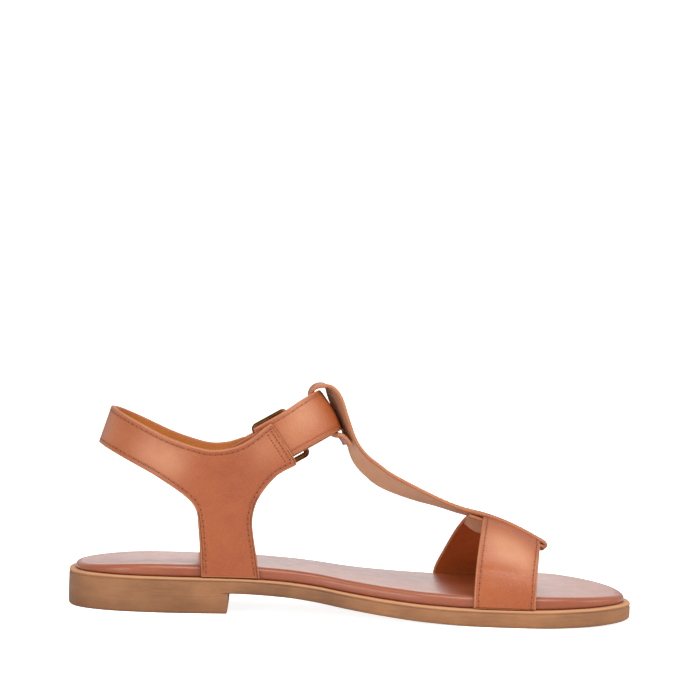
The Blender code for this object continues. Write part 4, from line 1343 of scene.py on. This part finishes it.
def ankle_strap_points(path):
    """The strap's points, with a tapered tip and a front that flares upwards and bows forward."""
    tip = path[-1][0]
    points = []
    for along, y in path:
        taper = 1.0
        if y > 0:
            roundness = rounding(along - tip, STRAP_TIP_TAPER, STRAP_TIP_FULLNESS)
            taper = STRAP_TIP_SHARE + (1 - STRAP_TIP_SHARE) * roundness
        flare = RING_FRONT_FLARE * ease(along, 0, RING_FRONT)
        bow = RING_FRONT_BOW * ease(along, RING_BOW_START, RING_FRONT)
        for share in ANKLE_STRAP_SHARES:
            up = share * ANKLE_STRAP_HALF_WIDTH * taper + max(share, 0) * flare
            points.append(place(*on_ring(along + bow * (1 - share * share), up, y)))
    return points


def cut_prong_hole(points, path):
    """Draws the points round the prong's hole into a long round, and returns the cells that it takes."""
    start, end = BUCKLE_REAR_BAR + PRONG_HOLE_START, BUCKLE_REAR_BAR + PRONG_HOLE_END
    lines = []
    for i in range(len(path) - 1):
        if path[i][1] > 0 and end < path[i + 1][0] and path[i][0] < start:
            lines.append(i)
    first, last = lines[0], lines[-1] + 1
    for i in range(first, last + 1):
        along, y = path[i]
        roundness = math.sqrt(1 - ((2 * i - first - last) / (last - first)) ** 2)
        reach = PRONG_HOLE_HALF_WIDTH * (PRONG_HOLE_END_SHARE + (1 - PRONG_HOLE_END_SHARE) * roundness)
        for j, up in zip(PRONG_HOLE_COLUMNS, (-reach, reach)):
            points[i * len(ANKLE_STRAP_SHARES) + j] = place(*on_ring(along, up, y))
    return [(i, j) for i in lines for j in range(*PRONG_HOLE_COLUMNS)]


def add_spare_holes(points, faces):
    """The punched holes near the strap's tip: dark plugs of painted shade, as one piece."""
    tree = BVHTree.FromPolygons([tuple(p) for p in points], faces)
    verts, discs = [], []
    for along in SPARE_HOLES:
        spot, normal, _, _ = tree.find_nearest(place(*on_ring(BUCKLE_REAR_BAR + along, 0.0, SPARE_HOLE_Y)))
        centre = spot + normal * (ANKLE_STRAP_THICKNESS / 2) * MM
        add_hole(verts, discs, centre, normal, SPARE_HOLE_RADIUS, SPARE_HOLE_RISE)
    mesh_piece("ankle_strap_holes", verts, discs, (hole_shade,))


def make_ankle_strap():
    """The ankle strap, its stitches and its spare holes."""
    path = ankle_strap_path()
    across = len(ANKLE_STRAP_SHARES)
    points = ankle_strap_points(path)
    holes = cut_prong_hole(points, path)
    faces = grid_faces(len(path), across, holes, True)
    outside = ANKLE_STRAP_THICKNESS / 2
    half = [outside * MM] * len(points)
    edges = [[i * across + j for i in range(len(path))] for j in (0, across - 1)]
    finishes = (strap_leather, heel_lining_painted_light, cut_edge)
    strap = strap_piece("ankle_strap_leather", points, faces, half, edges, finishes, ANKLE_STRAP_HIGHLIGHTS)
    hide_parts("ankle_strap")
    rows = [row_on_sheet(points, faces, outside, edge, STITCH_INSET, ANKLE_STITCH_TRIM) for edge in edges]
    stitch_rows("ankle_strap_stitches", rows, ANKLE_HOLE_RADIUS)
    add_spare_holes(points, faces)
    return strap


ankle_strap = make_ankle_strap()
print("ankle strap has", len(ankle_strap.data.polygons), "faces")

# %% [markdown]
# ## Buckle
# A plain buckle bent from brass-coloured wire, with a prong curled round its rear bar. The solids
# already have its form, but their wire has few sides. The same paths with more sides and rounder
# corners catch the light cleanly. Curves with a round bevel could make them too. Rings of points along
# the path also let the prong's tip narrow.

# %% Brass and wire
SCRATCH_DEPTH = 0.04


def brass_finish():
    """Antique brass: a warm metal, darker where it isn't rubbed."""
    material, tree, shader = new_material("buckle_brass")
    patches = placed(tree, soft_patches, {"Patch Scale": 220.0, "Contrast": 1.5})["Mask"]
    where = node(tree, "ShaderNodeTexCoord").outputs["Object"]
    scratches = node(tree, "ShaderNodeTexNoise", {"Vector": where, "Scale": 2600.0, "Detail": 2.0})
    colour = mixed(tree, patches, tone(70, 38, 17), tone(140, 90, 48))
    dress(tree, shader, colour, maths(tree, "MULTIPLY_ADD", patches, -0.16, 0.4))
    emboss(tree, shader, scratches.outputs[0], SCRATCH_DEPTH, 0.4)
    shader.inputs["Metallic"].default_value = 1.0
    return material


def wire_piece(name, path, radii, sides, closed, finish):
    """A round wire along a path, with its own radius at each point."""
    verts, faces, rings = [], [], []
    across = None
    count = len(path)
    for i, p in enumerate(path):
        before = path[i - 1] if closed or i else p
        after = path[(i + 1) % count] if closed or i < count - 1 else p
        along = (after - before).normalized()
        if across is None:
            across = along.orthogonal().normalized()
        across = (across - along * across.dot(along)).normalized()
        other = along.cross(across)
        ring = []
        for k in range(sides):
            angle = 2 * math.pi * k / sides
            ring.append(len(verts))
            verts.append(p + (across * math.cos(angle) + other * math.sin(angle)) * (radii[i] * MM))
        rings.append(ring)
    for i in range(count if closed else count - 1):
        here, there = rings[i], rings[(i + 1) % count]
        for k in range(sides):
            faces.append((here[k], here[(k + 1) % sides], there[(k + 1) % sides], there[k]))
    if not closed:
        faces.append(tuple(reversed(rings[0])))
        faces.append(tuple(rings[-1]))
    return mesh_piece(name, verts, faces, (finish,))


buckle_brass = brass_finish()
print("brass is ready")

# %% Buckle
WIRE_SIDES, PRONG_SIDES = 24, 16
CORNER_TURN_STEP = 10
PRONG_CURL_START, PRONG_CURL_END, PRONG_CURL_STEP = -30, -270, -12
PRONG_STEPS = (4.0, 8.0, 12.0, 15.0, 16.0, 17.2, 18.0)
PRONG_TIP_RADII = [0.66, 0.3]


def make_frame():
    """The wire frame of the buckle."""
    front = BUCKLE_REAR_BAR + BUCKLE_LENGTH
    reach = BUCKLE_HALF_HEIGHT - BUCKLE_CORNER
    corners = (
        (front - BUCKLE_CORNER, reach, 0),
        (BUCKLE_REAR_BAR + BUCKLE_CORNER, reach, 90),
        (BUCKLE_REAR_BAR + BUCKLE_CORNER, -reach, 180),
        (front - BUCKLE_CORNER, -reach, 270),
    )
    path = []
    for along, up, start in corners:
        for turn in range(0, 91, CORNER_TURN_STEP):
            angle = math.radians(start + turn)
            turned = along + BUCKLE_CORNER * math.cos(angle), up + BUCKLE_CORNER * math.sin(angle)
            path.append(place(*on_ring(*turned, BUCKLE_Y)))
    wire = wire_piece("buckle_wire", path, [BUCKLE_WIRE_RADIUS] * len(path), WIRE_SIDES, True, buckle_brass)
    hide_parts("buckle_frame")
    return wire


def make_prong():
    """The prong, curled round the rear bar and straight from there to its tip."""
    curl = BUCKLE_WIRE_RADIUS + SEAT_GAP + PRONG_RADIUS
    route = []
    for degrees in range(PRONG_CURL_START, PRONG_CURL_END - 1, PRONG_CURL_STEP):
        angle = math.radians(degrees)
        route.append((BUCKLE_REAR_BAR + curl * math.cos(angle), BUCKLE_Y + curl * math.sin(angle)))
    route += [(BUCKLE_REAR_BAR + step, BUCKLE_Y + curl) for step in PRONG_STEPS]
    radii = [PRONG_RADIUS] * (len(route) - len(PRONG_TIP_RADII)) + PRONG_TIP_RADII
    points = [place(*on_ring(along, 0, y)) for along, y in route]
    prong = wire_piece("buckle_pin", points, radii, PRONG_SIDES, False, buckle_brass)
    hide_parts("buckle_prong")
    return prong


buckle_pieces = [make_frame(), make_prong()]
print("frame and prong have", [len(piece.data.polygons) for piece in buckle_pieces], "faces")

# %% [markdown]
# ## Outsole and heel
# The sole is one moulded piece of tan rubber with a low heel under it. Its side has a bevelled top
# edge with a painted highlight, a shallow groove below it, faint lines from the mould, and a few darker
# spots of painted shade. Outsole and heel could be cut from one block. Loops of points stacked from the
# underside to the top give the same form, and each loop can be moved in or out a little to make the
# bevel and the groove. The height within the sole and the spots of painted shade are stored on the
# points for the shader. On the heel that height runs below zero.

# %% Finish of the sole
SOLE_DEEP, SOLE_LIGHT = tone(118, 78, 50), tone(186, 130, 88)
# Painted shade: a darker tone laid over listed spots of the sole
SOLE_SHADE_TONE, SOLE_SHADE_SHARE = tone(102, 70, 50), 0.75
# Painted highlight: a light tone along the sole's bevelled top edge
LIP_HIGHLIGHT_TONE, LIP_HIGHLIGHT_SHARE = tone(218, 160, 116), 0.72
LIP_START, LIP_END = 0.84, 0.97
HEEL_FOOT_TONE, HEEL_FOOT_SHARE = tone(118, 76, 48), 0.35
HEEL_RISE_LOW, HEEL_RISE_HIGH = -1.3, -1.0
HEEL_FOOT_RISE = -1.25
MOULD_DEPTH, TREAD_SHARE = 0.25, 2.0


def sole_finish():
    """Matt tan rubber with mould lines, dusty patches, painted shade and a painted top-edge highlight."""
    material, tree, shader = new_material("sole_rubber")
    rise = stored(tree, "rise")
    where = node(tree, "ShaderNodeTexCoord").outputs["Object"]
    flat = node(tree, "ShaderNodeMapping", {"Vector": where, "Scale": (0.12, 0.12, 1.0)}).outputs[0]
    streaks = node(tree, "ShaderNodeTexNoise", {"Vector": flat, "Scale": 900.0, "Detail": 3.0}).outputs[0]
    patches = placed(tree, soft_patches, {"Patch Scale": 34.0, "Contrast": 1.2})["Mask"]
    specks = placed(tree, soft_patches, {"Patch Scale": 700.0, "Contrast": 0.9})["Mask"]
    shade = maths(tree, "MULTIPLY_ADD", patches, 0.6, maths(tree, "MULTIPLY", streaks, 0.4))
    colour = mixed(tree, shade, SOLE_DEEP, SOLE_LIGHT)
    # Painted shade over the listed spots
    painted_shade = maths(tree, "MULTIPLY", stored(tree, "painted_shade"), soft_range(tree, patches, 0.0, 0.8, 1.0, 0.55))
    colour = mixed(tree, maths(tree, "MULTIPLY", painted_shade, SOLE_SHADE_SHARE), colour, SOLE_SHADE_TONE)
    # Painted highlight along the bevelled top edge
    lip_highlight = soft_range(tree, rise, LIP_START, LIP_END)
    colour = mixed(tree, maths(tree, "MULTIPLY", lip_highlight, LIP_HIGHLIGHT_SHARE), colour, LIP_HIGHLIGHT_TONE)
    foot = soft_range(tree, rise, HEEL_FOOT_RISE, HEEL_RISE_HIGH, 1.0, 0.0)
    colour = mixed(tree, maths(tree, "MULTIPLY", foot, HEEL_FOOT_SHARE), colour, HEEL_FOOT_TONE)
    dress(tree, shader, colour, maths(tree, "MULTIPLY_ADD", specks, 0.2, 0.52))
    bands = {"Vector": where, "Scale": 120.0}
    tread = node(tree, "ShaderNodeTexWave", bands, bands_direction="DIAGONAL").outputs[0]
    normal = node(tree, "ShaderNodeNewGeometry").outputs["Normal"]
    facing = node(tree, "ShaderNodeSeparateXYZ", {0: normal}).outputs["Z"]
    under = soft_range(tree, facing, -0.95, -0.7, 1.0, 0.0)
    height = maths(tree, "MULTIPLY_ADD", streaks, 0.6, maths(tree, "MULTIPLY", specks, 0.4))
    height = maths(tree, "MULTIPLY_ADD", maths(tree, "MULTIPLY", tread, under), TREAD_SHARE, height)
    emboss(tree, shader, height, MOULD_DEPTH, 0.45)
    shader.inputs["Specular IOR Level"].default_value = 0.35
    return material


sole_rubber = sole_finish()
print("sole finish is ready")

# %% Stack loops of points into a sole piece
CAP_COLUMNS = 16
MEETING_POINTS = 0.01
# Spots of painted shade on the sole's side
SOLE_SHADE_SPOTS = (
    Spot(96.0, -30.0, 11.0, 20.0, 0.65),
    Spot(122.0, -34.0, 7.0, 14.0, 0.4),
    Spot(4.0, -18.0, 8.0, 13.0, 0.85),
    Spot(28.0, -32.0, 3.0, 8.0, 0.35),
    Spot(238.0, -30.0, 5.0, 10.0, 0.3),
    Spot(92.0, 28.0, 11.0, 22.0, 0.6),
    Spot(4.0, 18.0, 6.0, 10.0, 0.5),
    Spot(205.0, 44.0, 3.0, 14.0, 0.4),
)
Layer = namedtuple("Layer", "share inset")


def stacked_piece(name, loops, rises, finish, cap_lift=None, shade_spots=()):
    """A closed piece through stacked loops: each is a pair of rails, and a grid closes bottom and top."""
    verts, faces, rise_of = [], [], []

    def add(point, rise):
        verts.append(point)
        rise_of.append(rise)
        return len(verts) - 1

    def bridge(a, b, rise, lift=None):
        """Point numbers from a straight across to b."""
        if a == b:
            return [a] * (CAP_COLUMNS + 1)
        rung = [a]
        for k in range(1, CAP_COLUMNS):
            share = k / CAP_COLUMNS
            point = verts[a].lerp(verts[b], share)
            if lift:
                point = point + Vector((0, 0, lift(point, share)))
            rung.append(add(point, rise))
        return rung + [b]

    numbered = []
    for (medial, lateral), rise in zip(loops, rises):
        first = [add(p, rise) for p in medial]
        second = [add(p, rise) for p in lateral]
        for end in (0, -1):
            if (medial[end] - lateral[end]).length < MEETING_POINTS * MM:
                second[end] = first[end]
        ends = [bridge(first[end], second[end], rise) for end in (0, -1)]
        numbered.append((first, second, ends))
    for low, high in zip(numbered, numbered[1:]):
        for i in range(len(low[0]) - 1):
            faces.append((low[0][i], low[0][i + 1], high[0][i + 1], high[0][i]))
            faces.append((low[1][i + 1], low[1][i], high[1][i], high[1][i + 1]))
        for below, above, order in zip(low[2], high[2], (1, -1)):
            for k in range(CAP_COLUMNS):
                if below[k] != below[k + 1]:
                    faces.append((below[k + 1], below[k], above[k], above[k + 1])[::order])
    for level, lift, order in ((0, None, -1), (-1, cap_lift, 1)):
        medial, lateral, ends = numbered[level]
        rungs = [bridge(a, b, rises[level], lift) for a, b in zip(medial[1:-1], lateral[1:-1])]
        grid = [ends[0]] + rungs + [ends[1]]
        for here, there in zip(grid, grid[1:]):
            for k in range(CAP_COLUMNS):
                corners = (here[k], there[k], there[k + 1], here[k + 1])
                face = tuple(dict.fromkeys(corners))
                if len(face) > 2:
                    faces.append(face[::order])
    values = {"rise": rise_of, "painted_shade": spot_weights(verts, shade_spots)}
    return mesh_piece(name, verts, faces, (finish,), None, values)


def eased_stations(start, end, count):
    """Stations from start to end, closer together at the round ends."""
    return [start + (end - start) * (1 - math.cos(math.pi * k / count)) / 2 for k in range(count + 1)]


def stacked_loops(stations, layers, inset_at, point_at):
    """A pair of rails for each layer, by functions that give a layer's inset and its points."""
    loops = []
    for layer in layers:
        sides = rails(stations, lambda station: inset_at(layer, station))
        loops.append([[point_at(layer, s, y) for s, y in rail] for rail in sides])
    return loops


print("caps have", CAP_COLUMNS, "columns")

# %% Outsole
OUTSOLE_LAYERS = (
    Layer(0.0, 1.3),
    Layer(0.03, 0.75),
    Layer(0.08, 0.3),
    Layer(0.15, 0.06),
    Layer(0.3, 0.0),
    Layer(0.5, 0.0),
    Layer(0.7, 0.0),
    Layer(0.735, 0.06),
    Layer(0.76, 0.26),
    Layer(0.79, 0.32),
    Layer(0.82, 0.26),
    Layer(0.845, 0.06),
    Layer(0.87, 0.0),
    Layer(0.92, 0.04),
    Layer(0.96, 0.2),
    Layer(0.985, 0.45),
    Layer(1.0, 0.85),
)
SOLE_STEPS = 120
LOWER_HALF = 0.5
FLUSH_END, BEVEL_START = HEEL_LENGTH - 2.5, HEEL_LENGTH + 1.5


def outsole_inset(layer, station):
    """Inset of a layer's edge; the lower ones are flush with the heel block as far as it reaches."""
    if layer.share > LOWER_HALF:
        return layer.inset
    return layer.inset * ease(station, FLUSH_END, BEVEL_START)


def outsole_point(layer, station, y):
    """A point at a layer's share of the way from the underside to the top."""
    low = underside(station)
    return place(station, y, low + layer.share * (sole_top(station) - low))


def make_outsole():
    """The outsole, from its underside to its bevelled lip."""
    stations = eased_stations(0, SOLE_LENGTH, SOLE_STEPS)
    loops = stacked_loops(stations, OUTSOLE_LAYERS, outsole_inset, outsole_point)
    rises = [layer.share for layer in OUTSOLE_LAYERS]
    piece = stacked_piece("outsole_rubber", loops, rises, sole_rubber, shade_spots=SOLE_SHADE_SPOTS)
    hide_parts("outsole")
    return piece


outsole = make_outsole()
print("outsole has", len(outsole.data.polygons), "faces")

# %% Heel
HEEL_LAYERS = (
    Layer(0.0, 1.0),
    Layer(0.03, 0.55),
    Layer(0.08, 0.24),
    Layer(0.16, 0.1),
    Layer(0.5, 0.04),
    Layer(0.94, 0.0),
    Layer(1.0, 0.0),
)
HEEL_STEPS = 60
HEEL_FRONT_SHARE, HEEL_FRONT_REACH = 0.8, 6.0
HEEL_CORNER, HEEL_CORNER_STEPS = 0.6, 3
HEEL_CORNER_ANGLE = math.radians(50)


def heel_inset(layer, station):
    """Inset of a layer's edge, the same at every station."""
    return layer.inset


def heel_point(layer, station, y):
    """A point of a layer, whose front end is drawn in as its sides are."""
    near_front = ease(station, HEEL_LENGTH - HEEL_FRONT_REACH, HEEL_LENGTH)
    return place(station - layer.inset * HEEL_FRONT_SHARE * near_front, y, layer.share * underside(0))


def make_heel():
    """The low heel block, with a rounded front face."""
    stations = [HEEL_LENGTH * (1 - math.cos(0.5 * math.pi * k / HEEL_STEPS)) for k in range(HEEL_STEPS + 1)]
    loops = stacked_loops(stations, HEEL_LAYERS, heel_inset, heel_point)
    rises = [HEEL_RISE_LOW + (HEEL_RISE_HIGH - HEEL_RISE_LOW) * layer.share for layer in HEEL_LAYERS]
    piece = stacked_piece("heel_rubber", loops, rises, sole_rubber, shade_spots=SOLE_SHADE_SPOTS)
    bevel = piece.modifiers.new("rounded corners", "BEVEL")
    bevel.width = HEEL_CORNER * MM
    bevel.segments = HEEL_CORNER_STEPS
    bevel.limit_method = "ANGLE"
    bevel.angle_limit = HEEL_CORNER_ANGLE
    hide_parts("heel")
    return piece


heel = make_heel()
print("heel has", len(heel.data.polygons), "faces")

# %% [markdown]
# ## Insole
# The insole is a thin foam board covered with smooth, polished leather, glued down all over, so it is
# full and firm with a round edge, and slightly dished under the heel and the ball of the foot. It is
# too thin for a cloth simulation to add anything, so its form is given directly. The polish is a clear
# coat, which mirrors the pale surroundings at a low angle, as the picture shows.

# %% Finish of the insole
INSOLE_DEEP, INSOLE_LIGHT = tone(142, 66, 32), tone(170, 90, 50)
# Painted shade: a darker tone on the lowest part of the insole's side, next to the outsole
INSOLE_LOW_SHADE_TONE, INSOLE_LOW_SHADE_SHARE = tone(108, 48, 30), 0.5
INSOLE_PORE_TONE, INSOLE_PORE_SHARE = tone(100, 46, 28), 0.1
POLISHED_GRAIN_DEPTH = 0.14


def insole_finish():
    """Polished leather: reddish brown with fine pores under a clear coat, and painted shade low on its
    side.
    """
    material, tree, shader = new_material("insole_leather")
    patches = placed(tree, soft_patches, {"Patch Scale": 22.0, "Contrast": 1.2})["Mask"]
    clouds = placed(tree, soft_patches, {"Patch Scale": 160.0, "Contrast": 0.8})["Mask"]
    grain = placed(tree, hide_grain, {"Pebble Scale": 1300.0, "Wrinkle Scale": 240.0})
    # Painted shade: this mask darkens the insole's side towards its bottom
    near_edge = {"Edge Distance": stored(tree, "rise"), "Reach": 0.25, "Breakup": 0.1}
    edge = placed(tree, edge_wear_and_shade, near_edge)["Mask"]
    shade = maths(tree, "MULTIPLY_ADD", clouds, CLOUD_SHARE, maths(tree, "MULTIPLY", patches, PATCH_SHARE))
    colour = mixed(tree, shade, INSOLE_DEEP, INSOLE_LIGHT)
    colour = mixed(tree, maths(tree, "MULTIPLY", edge, INSOLE_LOW_SHADE_SHARE), colour, INSOLE_LOW_SHADE_TONE)
    pores = maths(tree, "MULTIPLY", grain["Pores"], INSOLE_PORE_SHARE)
    colour = mixed(tree, pores, colour, INSOLE_PORE_TONE)
    dress(tree, shader, colour, maths(tree, "MULTIPLY_ADD", clouds, 0.14, 0.34))
    emboss(tree, shader, grain["Height"], POLISHED_GRAIN_DEPTH, 0.35)
    shader.inputs["Coat Weight"].default_value = 0.5
    shader.inputs["Coat Roughness"].default_value = 0.26
    return material


insole_leather = insole_finish()
print("insole finish is ready")

# %% Insole
INSOLE_LAYERS = (
    Layer(0.0, 0.35),
    Layer(0.05, 0.1),
    Layer(0.12, 0.0),
    Layer(0.4, 0.0),
    Layer(0.55, 0.02),
    Layer(0.68, 0.16),
    Layer(0.79, 0.48),
    Layer(0.88, 0.98),
    Layer(0.95, 1.68),
    Layer(0.985, 2.4),
    Layer(1.0, 3.4),
)
Dish = namedtuple("Dish", "station reach depth")
INSOLE_DISHES = (
    Dish(38.0, 26.0, 0.9),
    Dish(186.0, 30.0, 0.5),
)


def insole_dish(point, share):
    """How far the top of the insole is pressed down: under the heel and under the ball of the foot."""
    station = point.x / MM + SOLE_LENGTH / 2
    depth = 0.0
    for dish in INSOLE_DISHES:
        distance = (station - dish.station) / dish.reach
        depth += dish.depth * math.exp(-distance * distance)
    return -depth * math.sin(math.pi * share) ** 2 * MM


def insole_inset(layer, station):
    """Inset of a layer's edge from the outsole's edge."""
    return INSOLE_MARGIN + layer.inset


def insole_point(layer, station, y):
    """A point at a layer's share of the insole's height."""
    return place(station, y, sole_top(station) + SEAT_GAP + layer.share * insole_height(station, y))


def make_insole():
    """The padded insole with its rounded edge."""
    stations = eased_stations(0, SOLE_LENGTH, SOLE_STEPS)
    loops = stacked_loops(stations, INSOLE_LAYERS, insole_inset, insole_point)
    rises = [layer.share for layer in INSOLE_LAYERS]
    piece = stacked_piece("insole_cover", loops, rises, insole_leather, insole_dish)
    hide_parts("insole")
    return piece


insole = make_insole()
print("insole has", len(insole.data.polygons), "faces")

# %% [markdown]
# ## Floor and light
# The sandal stands on a plain floor of white paper that rises far away all round, as in a photo studio.
# Four large soft lights stand above, in front, at the right and behind, in pale surroundings, and these
# also give the insole its sheen. A studio would light the paper until it is white. Here the paper glows
# for the camera only, so it looks white and adds no light of its own to the leather.


# %% Floor
SweepRow = namedtuple("SweepRow", "radius height")
SWEEP_ROWS = (
    SweepRow(6.0, 0.0),
    SweepRow(12.0, 0.0),
    SweepRow(14.5, 0.5),
    SweepRow(16.2, 2.0),
    SweepRow(17.0, 4.5),
)
SWEEP_STEPS, SWEEP_TURNS = 6, 96
PAPER_TONES = (0.89, 0.89, 0.89, 1), (0.91, 0.91, 0.91, 1)
PAPER_GLOW = 0.9


def paper_finish():
    """Matt white paper that glows for the camera alone."""
    material, tree, shader = new_material("pale_paper")
    fibres = placed(tree, soft_patches, {"Patch Scale": 9.0, "Contrast": 0.6})["Mask"]
    tree.links.new(mixed(tree, fibres, *PAPER_TONES), shader.inputs["Base Color"])
    shader.inputs["Roughness"].default_value = 0.9
    shader.inputs["Specular IOR Level"].default_value = 0.1
    seen = node(tree, "ShaderNodeLightPath").outputs["Is Camera Ray"]
    tree.links.new(seen, shader.inputs["Emission Color"])
    shader.inputs["Emission Strength"].default_value = PAPER_GLOW
    return material


def make_floor():
    """A wide round floor of pale, matt paper that rises in a soft curve all round."""
    rows = smooth_rows(SWEEP_ROWS, SWEEP_STEPS)
    verts = [(0.0, 0.0, 0.0)]
    for row in rows:
        for k in range(SWEEP_TURNS):
            angle = 2 * math.pi * k / SWEEP_TURNS
            verts.append((row.radius * math.cos(angle), row.radius * math.sin(angle), max(row.height, 0.0)))
    faces = [(0, 1 + k, 1 + (k + 1) % SWEEP_TURNS) for k in range(SWEEP_TURNS)]
    for i in range(len(rows) - 1):
        first = 1 + i * SWEEP_TURNS
        for k in range(SWEEP_TURNS):
            after = (k + 1) % SWEEP_TURNS
            low = (first + k, first + after)
            faces.append((low[0], low[0] + SWEEP_TURNS, low[1] + SWEEP_TURNS, low[1]))
    mesh = bpy.data.meshes.new("pale_floor")
    mesh.from_pydata(verts, [], faces)
    mesh.shade_smooth()
    mesh.materials.append(paper_finish())
    floor = bpy.data.objects.new("pale_floor", mesh)
    bpy.context.scene.collection.objects.link(floor)
    return floor


pale_floor = make_floor()
print("floor is", pale_floor.dimensions.x, "m wide")

# %% Light
SoftLight = namedtuple("SoftLight", "name position size power")
SOFT_LIGHTS = (
    SoftLight("top_light", (0.25, -0.7, 1.6), 1.1, 15.0),
    SoftLight("front_light", (-1.05, -1.95, 0.45), 0.8, 10.5),
    SoftLight("right_light", (1.75, -0.75, 0.85), 0.8, 8.0),
    SoftLight("back_light", (0.0, 2.6, 0.85), 1.0, 3.2),
)
SURROUNDINGS_STRENGTH = 0.6


def make_lights():
    """Large soft lights aimed at the sandal, in pale surroundings."""
    for light in SOFT_LIGHTS:
        lamp = bpy.data.lights.new(light.name, "AREA")
        lamp.shape = "DISK"
        lamp.size = light.size
        lamp.energy = light.power
        made = bpy.data.objects.new(light.name, lamp)
        made.location = light.position
        aim = CAMERA_TARGET - Vector(light.position)
        made.rotation_euler = aim.to_track_quat("-Z", "Y").to_euler()
        bpy.context.scene.collection.objects.link(made)
    world = bpy.data.worlds.new("pale_studio")
    world.use_nodes = True
    surroundings = world.node_tree.nodes["Background"]
    surroundings.inputs["Color"].default_value = (1.0, 1.0, 1.0, 1.0)
    surroundings.inputs["Strength"].default_value = SURROUNDINGS_STRENGTH
    bpy.context.scene.world = world
    bpy.context.scene.view_settings.view_transform = "Standard"


make_lights()
print("lights:", [light.name for light in SOFT_LIGHTS])
